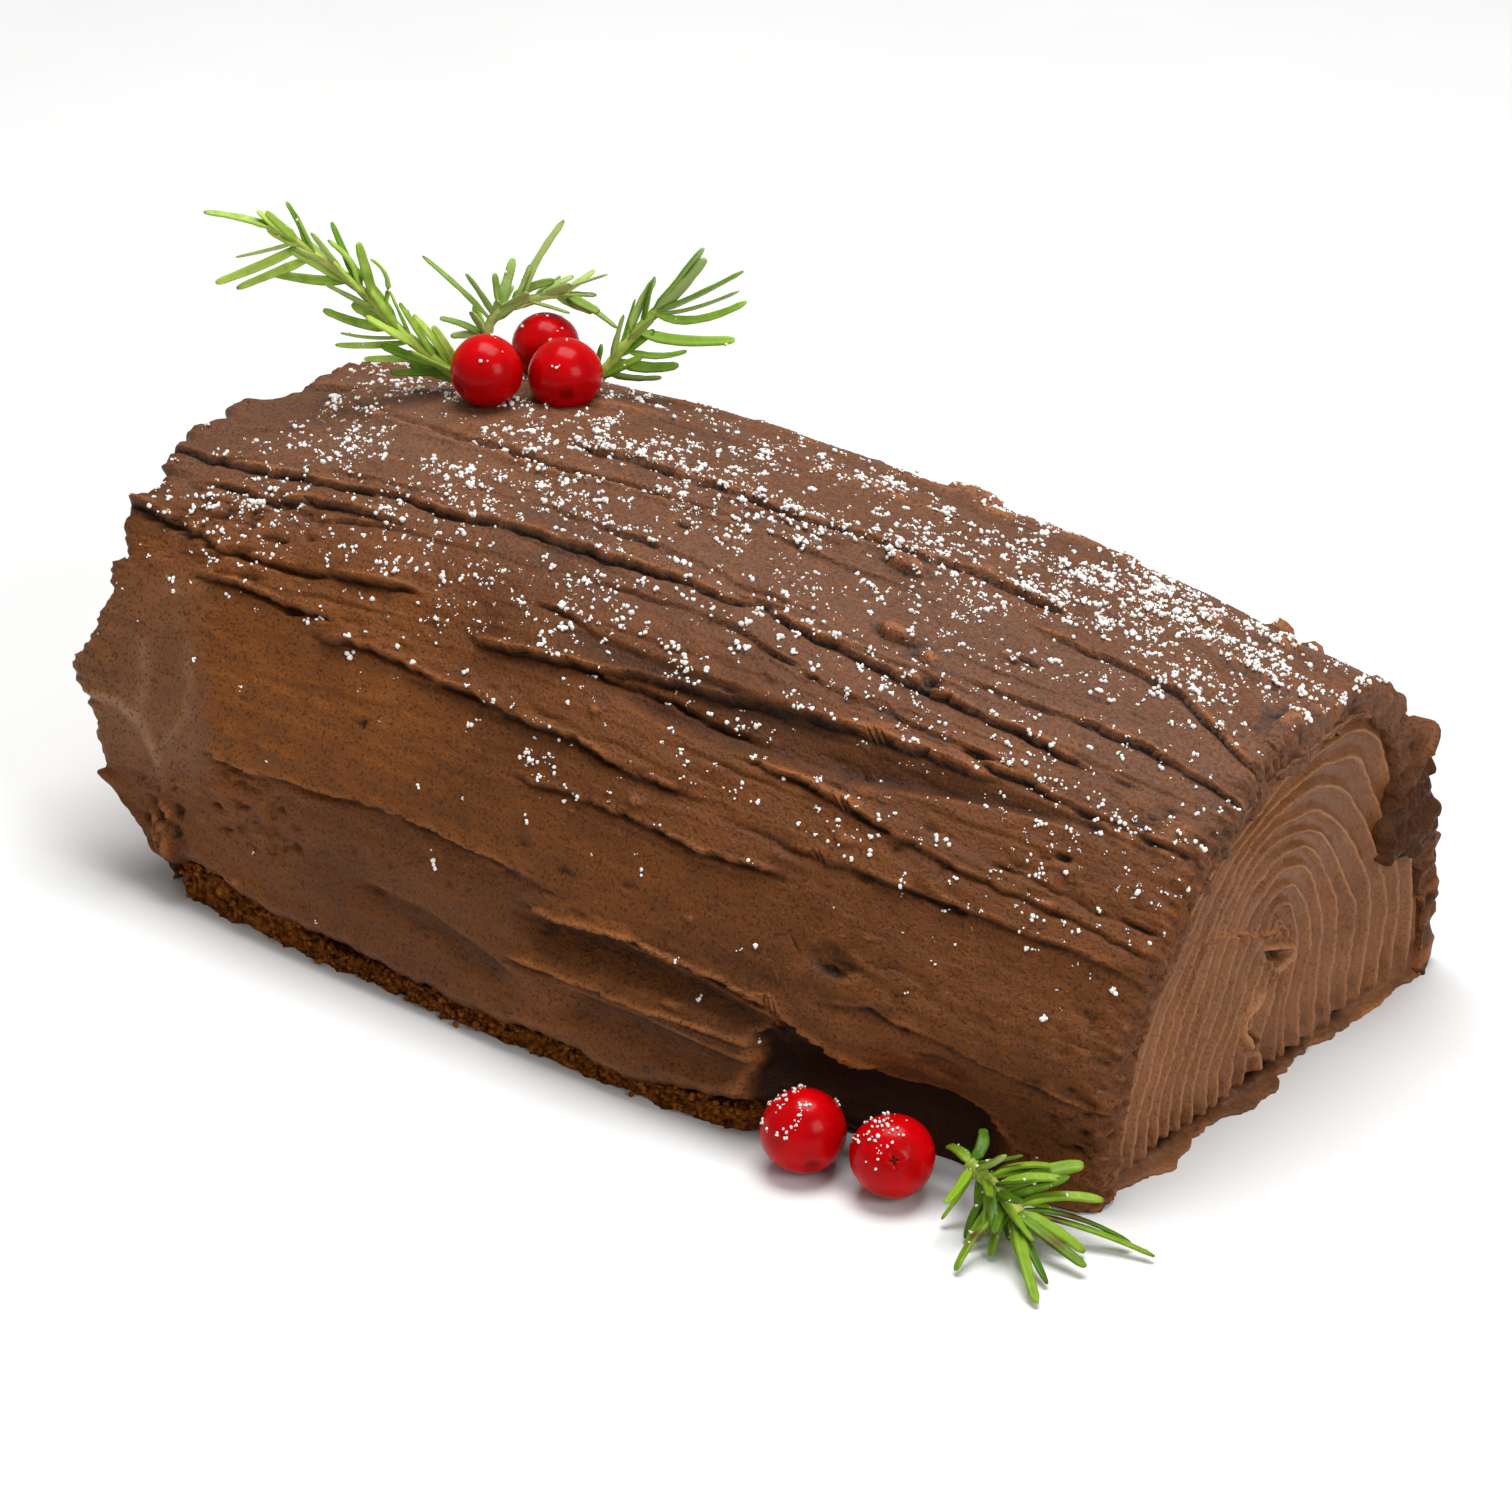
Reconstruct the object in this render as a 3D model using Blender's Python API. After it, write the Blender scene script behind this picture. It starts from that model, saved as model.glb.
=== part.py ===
"""Yule log cake: a chocolate sponge log under frosting drawn out like bark, with combed frosting on
its two ends, cranberries and sprigs of rosemary on top and at its foot.

Metres, +Z up. The log lies along X, its larger end at -X, and its front is at -Y. It stands on the
XY plane, and the origin is in the middle of its flat underside.
"""
import math
import random
from collections import namedtuple

import bmesh
import bpy
from mathutils import Matrix, Vector

MM = 0.001
GAP = 0.3 * MM

# The log
FAR_END = -112 * MM
NEAR_END = 104 * MM
FROSTING = 4.5 * MM

# How its cross-section changes along it. Each line gives a measure at the far end, where it is
# fullest and at the near end, and then where along the log that fullest place is. The cross-section
# is a superellipse with a side power that rounds its foot and a crown power that rounds its top.
CROWN_HEIGHT = (78 * MM, 86 * MM, 67.5 * MM, -30 * MM)
FRONT_HALF_WIDTH = (66.5 * MM, 72 * MM, 54 * MM, 8 * MM)
FRONT_SIDE_POWER = (2.8, 2.1, 1.5, -60 * MM)
FRONT_CROWN_POWER = (2.4, 2.3, 1.75, -20 * MM)
BACK_HALF_WIDTH = (61.7 * MM, 65 * MM, 60 * MM, 0 * MM)
BACK_SIDE_POWER = (1.9, 2.3, 2.5, -60 * MM)
BACK_CROWN_POWER = (2.1, 2.3, 2.4, -20 * MM)
HAUNCH = (5.5 * MM, 0 * MM, 0 * MM, 20 * MM)

# The back shoulder is fuller towards the near end: how much, and between which places it grows
SHOULDER_SWELL = 4.0 * MM
SHOULDER_GROWS = (5 * MM, 75 * MM)
SHOULDER_END_SWELL = 1.8 * MM
SHOULDER_END_GROWS = (80 * MM, 104 * MM)
SHOULDER_TURN = 1.99
SHOULDER_HALF_TURN = 0.34
SHOULDER_WAY = (0.62, 0.78)

# The hollow low on the front near the near end, behind the berries at the foot
HOLLOW_DEPTH = 10 * MM
HOLLOW_FULL_FROM = 55 * MM
HOLLOW_FADES_FROM = 70 * MM
HOLLOW_LEFT_AT_END = 0.2
HOLLOW_TOP = 26 * MM

# The bark: knife strokes along the log, each lapping over the one below it
STROKES_EACH_SIDE = 8
LIP_HEIGHT = 1.5 * MM
LIP_HALF_TURN = 0.007
LIP_WANDER = 0.012
LOWEST_STROKE = 9 * MM
UNEVENNESS = 0.25 * MM
END_RAGGEDNESS = 1.6 * MM

# Soft folds low on the front, a lump on the near end's back shoulder, and the far end's wavy rim
FOLD_HEIGHT = 2.2 * MM
SHOULDER_HEIGHT = 3.5 * MM
RIM_WAVE = 0.8 * MM

# The front and back foot, where the frosting stops short of the board and the sponge shows
LEDGE_HEIGHT = 5.3 * MM
LEDGE_INSET = 1.2 * MM
LEDGE_END = 45 * MM
EDGE_DROPS = 46 * MM
EDGE_ON_BOARD = 50 * MM

# The far end leans out over its own foot
TUCK = 15 * MM
TUCK_HEIGHT = 35 * MM
TUCK_REACH = 27 * MM

# The end plates, combed into nested arches round a short upright seam
FAR_PLATE_BACK = -94 * MM
NEAR_PLATE_BACK = 96 * MM
PLATE_INSET = 0.8 * MM
PLATE_GAP = 0.5 * MM
COMB_PITCH = 4.1 * MM
COMB_DEPTH = 1.3 * MM
SEAM_TOP = 38 * MM
SEAM_HALF_WIDTH = 1.6 * MM
SEAM_HEIGHT = 1.4 * MM

# Cranberries: name, centre, radius
BERRIES = (
    ("top_berry_left", (-70.3, -1.9, 91.0), 7.0),
    ("top_berry_right", (-59.5, 7.9, 90.0), 7.1),
    ("top_berry_back", (-70.9, 16.3, 90.0), 6.7),
    ("foot_berry_left", (57.3, -71.0, 7.6), 7.6),
    ("foot_berry_right", (73.7, -68.1, 7.5), 7.5),
)
BERRY_SEGMENTS = 12
BERRY_RINGS = 8
BLOSSOM_DIMPLE = 0.16
SEAT_GAP = 0.5 * MM

# Rosemary: name, the stem's route from its cut end to its tip, number of leaves, leaf length
SPRIGS = (
    ("rosemary_left", ((-79, 1, 87.2), (-87, -5, 94), (-97, -13, 105), (-105, -19, 112)), 13, 17.0),
    ("rosemary_middle", ((-79, 15, 86.5), (-79, 13, 93), (-77, 13, 98), (-75, 14, 101)), 10, 18.0),
    ("rosemary_right", ((-56, 18.5, 86.5), (-53, 21, 92), (-49.5, 24, 98), (-47, 26, 102)), 11, 19.0),
    ("rosemary_foot", ((86, -66, 9.5), (90, -67, 8.5), (95, -68, 7.0), (100, -69, 5.5)), 12, 16.0),
)
STEM_RADIUS = 1.0 * MM
STEM_TAPER = 0.45
LEAF_HALF_WIDTH = 0.9 * MM
LEAF_HALF_THICKNESS = 0.55 * MM
LEAF_SPREAD = math.radians(40)
LEAF_TURN = math.radians(137)
LEAF_ROOT_DEPTH = 0.6 * MM

# Base colour and roughness
COLOURS = {
    "sponge": ((0.095, 0.034, 0.014), 0.9),
    "bark_frosting": ((0.060, 0.027, 0.016), 0.55),
    "combed_frosting": ((0.150, 0.077, 0.047), 0.6),
    "cranberry": ((0.420, 0.006, 0.012), 0.25),
    "rosemary": ((0.110, 0.230, 0.030), 0.5),
}


def clear_scene():
    for thing in list(bpy.data.objects):
        bpy.data.objects.remove(thing)


def make_collection(name):
    collection = bpy.data.collections.new(name)
    bpy.context.scene.collection.children.link(collection)
    return collection


def make_material(name):
    colour, roughness = COLOURS[name]
    material = bpy.data.materials.new(name)
    material.use_nodes = True
    shader = material.node_tree.nodes["Principled BSDF"]
    shader.inputs["Base Color"].default_value = (*colour, 1.0)
    shader.inputs["Roughness"].default_value = roughness
    shader.inputs["Metallic"].default_value = 0.0
    return material


def add_object(name, mesh, material, collection):
    thing = bpy.data.objects.new(name, mesh)
    thing.data.materials.append(material)
    collection.objects.link(thing)
    return thing


def add_helper(name, mesh, collection):
    """A solid that only cuts or joins."""
    thing = bpy.data.objects.new(name, mesh)
    thing.hide_render = True
    thing.display_type = "WIRE"
    collection.objects.link(thing)
    return thing


def mesh_from(name, bm):
    bmesh.ops.recalc_face_normals(bm, faces=bm.faces)
    mesh = bpy.data.meshes.new(name)
    bm.to_mesh(mesh)
    bm.free()
    return mesh


def evenly(low, high, count):
    return [low + (high - low) * i / (count - 1) for i in range(count)]


def log_stations():
    """Where the cross-sections are: close together where the bark's edge comes down to the board."""
    return evenly(FAR_END, LEDGE_END, 14) + [EDGE_DROPS] + evenly(EDGE_ON_BOARD, NEAR_END, 7)


def smooth_step(value, low, high):
    share = min(max((value - low) / (high - low), 0.0), 1.0)
    return share * share * (3.0 - 2.0 * share)


def swell(x, measure):
    """A measure of the cross-section at x."""
    far, fullest, near, fullest_at = measure
    if x < fullest_at:
        return fullest + (far - fullest) * ((fullest_at - x) / (fullest_at - FAR_END)) ** 2
    return fullest + (near - fullest) * ((x - fullest_at) / (NEAR_END - fullest_at)) ** 2


def hollow(x, z):
    """How far the front is pressed in behind the berries at the foot."""
    along = smooth_step(x, LEDGE_END - 5 * MM, HOLLOW_FULL_FROM)
    fading = (1 - HOLLOW_LEFT_AT_END) * smooth_step(x, HOLLOW_FADES_FROM, NEAR_END)
    return HOLLOW_DEPTH * along * (1 - fading) * (1 - smooth_step(z, LOWEST_STROKE, HOLLOW_TOP))


def bump(value, middle, half_width):
    return math.exp(-((value - middle) / half_width) ** 2)


def shoulder_swell(x, turn):
    """How far the back shoulder stands out beyond the superellipse."""
    size = SHOULDER_SWELL * smooth_step(x, *SHOULDER_GROWS)
    size += SHOULDER_END_SWELL * smooth_step(x, *SHOULDER_END_GROWS)
    return size * bump(turn, SHOULDER_TURN, SHOULDER_HALF_TURN)


def arch(x, turn, inset=0.0):
    """A point (y, z) of the log's cross-section at x.

    turn goes from 0 at the front foot, over the crown, to pi at the back foot.
    """
    front = turn < math.pi / 2
    half_width = swell(x, FRONT_HALF_WIDTH if front else BACK_HALF_WIDTH)
    side_power = swell(x, FRONT_SIDE_POWER if front else BACK_SIDE_POWER)
    crown_power = swell(x, FRONT_CROWN_POWER if front else BACK_CROWN_POWER)
    across = abs(math.cos(turn)) ** (2 / side_power) * (half_width - inset)
    up = math.sin(turn) ** (2 / crown_power) * (swell(x, CROWN_HEIGHT) - inset)
    across += swell(x, HAUNCH) * math.sin(2 * min(turn, math.pi - turn))
    if front:
        across -= hollow(x, up)
    swollen = shoulder_swell(x, turn)
    return (-across if front else across) + SHOULDER_WAY[0] * swollen, up + SHOULDER_WAY[1] * swollen


def turn_at_height(x, front, height, inset=0.0):
    """The turn at which the cross-section at x reaches a height."""
    crown_power = swell(x, FRONT_CROWN_POWER if front else BACK_CROWN_POWER)
    turn = math.asin((height / (swell(x, CROWN_HEIGHT) - inset)) ** (crown_power / 2))
    return turn if front else math.pi - turn


def outward(x, turn):
    """The direction (y, z) that faces out of the cross-section at x."""
    step = 0.004
    low = arch(x, max(turn - step, 0.0))
    high = arch(x, min(turn + step, math.pi))
    along = Vector((high[0] - low[0], high[1] - low[1])).normalized()
    return -along.y, along.x


def tucked(x, z):
    """x moved in from the far end near the floor, where that end is cut under."""
    reach = 1 - smooth_step(x, FAR_END, FAR_END + TUCK_REACH)
    return x + TUCK * reach * (1 - smooth_step(z, 0.0, TUCK_HEIGHT))


def log_point(x, turn, inset=0.0):
    """A point (x, y, z) of the log's surface, on the cross-section that the tuck moves to."""
    x = tucked(x, arch(x, turn, inset)[1])
    return (x, *arch(x, turn, inset))


def frosting_edge(x):
    """Height of the bark's lower edge: above the sponge ledge, then down to the board."""
    return (LEDGE_HEIGHT + GAP) * (1 - smooth_step(x, EDGE_DROPS, EDGE_ON_BOARD))


def inner_turns(x, inset, edge=0.0):
    """Turns of the bark's inside at x: its two edges, and evenly spread between the lowest strokes."""
    low = turn_at_height(x, True, LOWEST_STROKE, inset)
    high = turn_at_height(x, False, LOWEST_STROKE, inset)
    between = evenly(low, high, 4 * STROKES_EACH_SIDE + 1)
    return [turn_at_height(x, True, edge, inset)] + between + [turn_at_height(x, False, edge, inset)]


Lip = namedtuple("Lip", "share drift phase wave size")


def stroke_lips(rng):
    """The lower lip of each stroke on one side: its share of the way up, how it wanders, its size."""
    lips = []
    for stroke in range(STROKES_EACH_SIDE):
        share = max(stroke + rng.uniform(-0.35, 0.35), 0.0) / STROKES_EACH_SIDE
        drift = rng.uniform(-0.03, 0.03)
        phase = rng.uniform(0, math.tau)
        wave = rng.uniform(45 * MM, 80 * MM)
        lips.append(Lip(share, drift, phase, wave, rng.uniform(0.6, 1.3)))
    return lips


def side_outline(x, front, lips):
    """One side's outer points at x, as turn and height, from its foot up to the crown."""
    low = turn_at_height(x, front, LOWEST_STROKE)
    to_crown = math.pi / 2 - low
    half = math.copysign(LIP_HALF_TURN, to_crown)
    points = [(turn_at_height(x, front, frosting_edge(x)), 0.0)]
    for lip in lips:
        wander = lip.drift * x / NEAR_END + LIP_WANDER * math.sin(x / lip.wave * math.tau + lip.phase)
        at = low + to_crown * min(max(lip.share + wander, 0.0), 0.97)
        height = LIP_HEIGHT * lip.size * (0.75 + 0.25 * math.sin(4 * x / lip.wave + lip.phase))
        points += [(at - half, 0.0), (at + half, height)]
    return points


def bark_outline(x, front_lips, back_lips):
    """The bark's outer points at x, as turn and height, from the front edge over to the back edge."""
    crown = [(math.pi / 2, 0.4 * LIP_HEIGHT)]
    return side_outline(x, True, front_lips) + crown + side_outline(x, False, back_lips)[::-1]


def folds(x, turn):
    """Broad soft folds low on the front, and the smeared lumps at the two ends."""
    along_fold = smooth_step(x, -60 * MM, -10 * MM) * (1 - smooth_step(x, 50 * MM, 80 * MM))
    fold = FOLD_HEIGHT * bump(turn, 0.42 + 0.9 * x, 0.09) * along_fold
    shoulder = SHOULDER_HEIGHT * bump(turn, 2.05, 0.16) * smooth_step(x, 88 * MM, NEAR_END)
    rim = RIM_WAVE * math.sin(turn * 11) * (1 - smooth_step(x, FAR_END, -100 * MM))
    return fold + shoulder + rim


def loft(bm, rings):
    """Faces between closed rings of equal length."""
    for low, high in zip(rings, rings[1:]):
        for i in range(len(low)):
            j = (i + 1) % len(low)
            bm.faces.new((low[i], low[j], high[j], high[i]))


def make_bark():
    """The bark as a tunnel: a loft of an arch-shaped band, its outside lapped by the knife."""
    rng = random.Random(7)
    front_lips = stroke_lips(rng)
    back_lips = stroke_lips(rng)
    bm = bmesh.new()
    rings = []
    for x in log_stations():
        ring = []
        outline = bark_outline(x, front_lips, back_lips)
        for turn, height in outline:
            point = Vector(log_point(x, turn))
            if turn not in (outline[0][0], outline[-1][0]):
                height += folds(x, turn) + rng.uniform(-UNEVENNESS, UNEVENNESS)
                point += Vector((0, *outward(point.x, turn))) * height
            if x in (FAR_END, NEAR_END):
                point.x -= math.copysign(rng.uniform(0, END_RAGGEDNESS), x)
            ring.append(bm.verts.new(point))
        for turn in reversed(inner_turns(x, FROSTING, frosting_edge(x))):
            ring.append(bm.verts.new(log_point(x, turn, FROSTING)))
        rings.append(ring)
    loft(bm, rings)
    band = len(rings[0]) // 2
    for ring in (rings[0], rings[-1]):
        outer, inner = ring[:band], ring[band:][::-1]
        for i in range(band - 1):
            bm.faces.new((outer[i], outer[i + 1], inner[i + 1], inner[i]))
    return mesh_from("bark_frosting", bm)


def make_sponge():
    """The sponge: a loft that fills the bark's tunnel, with a ledge along each foot."""
    inset = FROSTING + GAP
    bm = bmesh.new()
    rings = []
    ends = (FAR_PLATE_BACK + GAP, NEAR_PLATE_BACK - GAP)
    between = [x for x in log_stations() + [LEDGE_END + GAP] if ends[0] < x < ends[1]]
    for x in sorted(between + list(ends)):
        turns = inner_turns(x, inset)
        on_ledge = x <= LEDGE_END
        feet = []
        for front in (True, False):
            inner_y, _ = arch(x, turn_at_height(x, front, LEDGE_HEIGHT, inset), inset)
            outer_y, _ = arch(x, 0.0 if front else math.pi, LEDGE_INSET)
            foot_y, _ = arch(x, 0.0 if front else math.pi, inset)
            if on_ledge:
                feet.append(((outer_y, 0.0), (outer_y, LEDGE_HEIGHT), (inner_y, LEDGE_HEIGHT)))
            else:
                middle = (foot_y + inner_y) / 2
                feet.append(((foot_y, 0.0), (middle, LEDGE_HEIGHT / 2), (inner_y, LEDGE_HEIGHT)))
        outline = list(feet[0]) + [arch(x, turn, inset) for turn in turns[1:-1]] + list(feet[1][::-1])
        rings.append([bm.verts.new((x, y, z)) for y, z in reversed(outline)])
    loft(bm, rings)
    bm.faces.new(rings[0])
    bm.faces.new(rings[-1])
    return mesh_from("sponge_log", bm)


def make_end_plate(name, at_far_end):
    """Combed frosting on one end: nested arches from the rim in to an upright seam."""
    x_rim = FAR_END if at_far_end else NEAR_END
    x_back = FAR_PLATE_BACK if at_far_end else NEAR_PLATE_BACK
    out = -1 if at_far_end else 1
    inset = FROSTING + PLATE_GAP
    half_width = swell(x_rim, FRONT_HALF_WIDTH)
    height = swell(x_rim, CROWN_HEIGHT)
    grooves = int((half_width - inset - SEAM_HALF_WIDTH) / COMB_PITCH)
    turns = inner_turns(x_rim, inset)[::2]
    bm = bmesh.new()
    rings = []
    for line in range(2 * grooves + 1):
        share = line / (2 * grooves)
        narrowing = 1 - share * (1 - SEAM_HALF_WIDTH / (half_width - inset))
        lowering = 1 - share * (1 - SEAM_TOP / (height - inset))
        relief = 0.0 if line == 0 else COMB_DEPTH * (-0.5 if line % 2 else 0.5)
        if line == 2 * grooves:
            relief = SEAM_HEIGHT
        ring = []
        for turn in turns:
            x, y, z = log_point(x_rim, turn, inset)
            x = tucked(x_rim, z * lowering) + out * (relief - PLATE_INSET)
            ring.append(bm.verts.new((x, y * narrowing, z * lowering)))
        rings.append(ring)
    back_turns = inner_turns(x_back, inset)[::2]
    back = [bm.verts.new((x_back, *arch(x_back, turn, inset))) for turn in back_turns]
    rings.insert(0, back)
    for low, high in zip(rings, rings[1:]):
        for i in range(len(turns) - 1):
            bm.faces.new((low[i], low[i + 1], high[i + 1], high[i]))
    bm.faces.new(back)
    bm.faces.new(rings[-1])
    bm.faces.new([ring[0] for ring in rings] + [ring[-1] for ring in reversed(rings)])
    return mesh_from(name, bm)


def make_berry(name, radius, rng):
    """A cranberry: nearly round, with a small dimple where its blossom was."""
    bm = bmesh.new()
    bmesh.ops.create_uvsphere(bm, u_segments=BERRY_SEGMENTS, v_segments=BERRY_RINGS, radius=radius)
    for vert in bm.verts:
        if vert.co.z > 0.99 * radius:
            vert.co.z -= BLOSSOM_DIMPLE * radius
    mesh = mesh_from(name, bm)
    lean = Matrix.Rotation(rng.uniform(0.4, 1.1), 4, "X") @ Matrix.Rotation(rng.uniform(0, 6), 4, "Z")
    mesh.transform(Matrix.Rotation(rng.uniform(0, math.tau), 4, "Z") @ lean)
    mesh.shade_smooth()
    return mesh


def stem_mesh(name, route):
    """A tapering stem: a bevelled curve through the route, as a closed mesh."""
    curve = bpy.data.curves.new(name, "CURVE")
    curve.dimensions = "3D"
    curve.bevel_depth = STEM_RADIUS
    curve.bevel_resolution = 0
    curve.use_fill_caps = True
    spline = curve.splines.new("POLY")
    spline.points.add(len(route) - 1)
    for i, point in enumerate(route):
        spline.points[i].co = (*(Vector(point) * MM), 1.0)
        spline.points[i].radius = 1.0 - STEM_TAPER * i / (len(route) - 1)
    thing = bpy.data.objects.new(name, curve)
    bpy.context.scene.collection.objects.link(thing)
    graph = bpy.context.evaluated_depsgraph_get()
    mesh = bpy.data.meshes.new_from_object(thing.evaluated_get(graph))
    bpy.data.objects.remove(thing)
    bm = bmesh.new()
    bm.from_mesh(mesh)
    bmesh.ops.remove_doubles(bm, verts=bm.verts, dist=0.01 * MM)
    bpy.data.meshes.remove(mesh)
    return mesh_from(name, bm)


def along(route, share):
    """The point and direction a share of the way along a route."""
    place = share * (len(route) - 1)
    i = min(int(place), len(route) - 2)
    low = Vector(route[i]) * MM
    high = Vector(route[i + 1]) * MM
    return low.lerp(high, place - i), (high - low).normalized()


def leaves_mesh(name, route, count, length, rng):
    """Narrow leaves round the stem, in turn on each side of it, each leaning towards its tip."""
    bm = bmesh.new()
    for leaf in range(count):
        share = 0.08 + 0.9 * leaf / (count - 1)
        root, forward = along(route, share)
        side = forward.cross(Vector((0, 0, 1))).normalized()
        up = side.cross(forward)
        around = leaf * LEAF_TURN + rng.uniform(-0.3, 0.3)
        aside = side * math.cos(around) + up * abs(math.sin(around)) * 0.8
        spread = LEAF_SPREAD * (1.15 - 0.8 * share)
        reach = (forward * math.cos(spread) + aside.normalized() * math.sin(spread)).normalized()
        size = length * MM * rng.uniform(0.8, 1.1)
        turned = reach.to_track_quat("Z", "X").to_matrix().to_4x4()
        shape = Matrix.Diagonal((LEAF_HALF_WIDTH, LEAF_HALF_THICKNESS, size / 2, 1.0))
        centre = Matrix.Translation(root + reach * (size / 2 - LEAF_ROOT_DEPTH))
        bmesh.ops.create_uvsphere(bm, u_segments=4, v_segments=4, radius=1.0, matrix=centre @ turned @ shape)
    return mesh_from(name, bm)


def add_boolean(thing, operation, helper):
    modifier = thing.modifiers.new(helper.name, "BOOLEAN")
    modifier.operation = operation
    modifier.solver = "EXACT"
    modifier.use_self = operation == "UNION"
    modifier.object = helper


def build_log(parts, helpers):
    bark_frosting = make_material("bark_frosting")
    combed_frosting = make_material("combed_frosting")
    add_object("sponge_log", make_sponge(), make_material("sponge"), parts)
    add_object("near_end_frosting", make_end_plate("near_end_frosting", False), combed_frosting, parts)
    add_object("far_end_frosting", make_end_plate("far_end_frosting", True), combed_frosting, parts)
    bark = add_object("bark_frosting", make_bark(), bark_frosting, parts)
    for name, centre, radius in BERRIES:
        if not name.startswith("top"):
            continue
        bm = bmesh.new()
        bmesh.ops.create_icosphere(bm, subdivisions=3, radius=radius * MM + SEAT_GAP)
        seat = add_helper(name + "_seat", mesh_from(name + "_seat", bm), helpers)
        seat.location = Vector(centre) * MM
        add_boolean(bark, "DIFFERENCE", seat)


def build_berries(parts):
    rng = random.Random(3)
    cranberry = make_material("cranberry")
    for name, centre, radius in BERRIES:
        berry = add_object(name, make_berry(name, radius * MM, rng), cranberry, parts)
        berry.location = Vector(centre) * MM


def build_rosemary(parts, helpers):
    rng = random.Random(11)
    rosemary = make_material("rosemary")
    for name, route, count, length in SPRIGS:
        sprig = add_object(name, stem_mesh(name, route), rosemary, parts)
        leaves = add_helper(name + "_leaves", leaves_mesh(name + "_leaves", route, count, length, rng), helpers)
        add_boolean(sprig, "UNION", leaves)


def main():
    clear_scene()
    parts = make_collection("yule_log_cake")
    helpers = make_collection("cutters_and_joiners")
    build_log(parts, helpers)
    build_berries(parts)
    build_rosemary(parts, helpers)


main()
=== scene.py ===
"""The looks of a yule log cake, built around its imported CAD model.

Shapes are worked out in millimetres, in the row frame, and become metres where a mesh is made. A
place on the log is given by x, along it, and by v, the way round its cross-section: 0 at the front
foot, 120 on the crown and 240 at the back foot.
"""
import math

import bmesh
import bpy
import numpy as np
from mathutils import Matrix, Vector


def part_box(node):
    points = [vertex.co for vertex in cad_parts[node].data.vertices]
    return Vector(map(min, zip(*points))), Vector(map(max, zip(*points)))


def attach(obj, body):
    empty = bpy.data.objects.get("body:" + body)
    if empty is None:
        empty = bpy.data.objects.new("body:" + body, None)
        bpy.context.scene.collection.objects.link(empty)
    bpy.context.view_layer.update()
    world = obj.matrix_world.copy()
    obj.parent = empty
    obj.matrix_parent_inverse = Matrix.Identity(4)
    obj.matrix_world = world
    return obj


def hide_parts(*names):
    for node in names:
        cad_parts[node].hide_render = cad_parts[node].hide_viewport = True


MM = 0.001

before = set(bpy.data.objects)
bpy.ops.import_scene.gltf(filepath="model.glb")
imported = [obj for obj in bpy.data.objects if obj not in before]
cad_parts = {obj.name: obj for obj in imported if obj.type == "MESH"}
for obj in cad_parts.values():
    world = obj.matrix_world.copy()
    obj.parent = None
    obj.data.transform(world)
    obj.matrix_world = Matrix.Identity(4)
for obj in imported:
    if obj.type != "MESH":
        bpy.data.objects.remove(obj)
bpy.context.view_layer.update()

# The log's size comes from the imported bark, its cross-section from the same measures as the CAD's.
bark_low, bark_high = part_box("bark_frosting")
FAR_END = bark_low.x / MM
NEAR_END = bark_high.x / MM
FROSTING = 4.5
AROUND = 240.0
CROWN_HEIGHT = (78, 86, 67.5, -30)
FRONT_HALF_WIDTH = (66.5, 72, 54, 8)
FRONT_SIDE_POWER = (2.8, 2.1, 1.5, -60)
FRONT_CROWN_POWER = (2.4, 2.3, 1.75, -20)
BACK_HALF_WIDTH = (61.7, 65, 60, 0)
BACK_SIDE_POWER = (1.9, 2.3, 2.5, -60)
BACK_CROWN_POWER = (2.1, 2.3, 2.4, -20)
HAUNCH = (5.5, 0, 0, 20)
SHOULDER_SWELL = 4.0
SHOULDER_GROWS = (5, 75)
SHOULDER_END_SWELL = 1.8
SHOULDER_END_GROWS = (80, 104)
SHOULDER_AT = 152.0
SHOULDER_REACH = 26.0
SHOULDER_WAY = (0.62, 0.78)
HOLLOW_DEPTH = 10.0
HOLLOW_RISES = (40, 55)
HOLLOW_FADES = (70, 104)
HOLLOW_KEPT = 0.2
HOLLOW_TOP = (9, 26)
TUCK = 15.0
TUCK_HEIGHT = 35.0
TUCK_REACH = 27.0
LEDGE_HEIGHT = 5.3
LEDGE_INSET = 2.0
EDGE_HEIGHT = 5.6
EDGE_DROPS = (45, 50)

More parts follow.
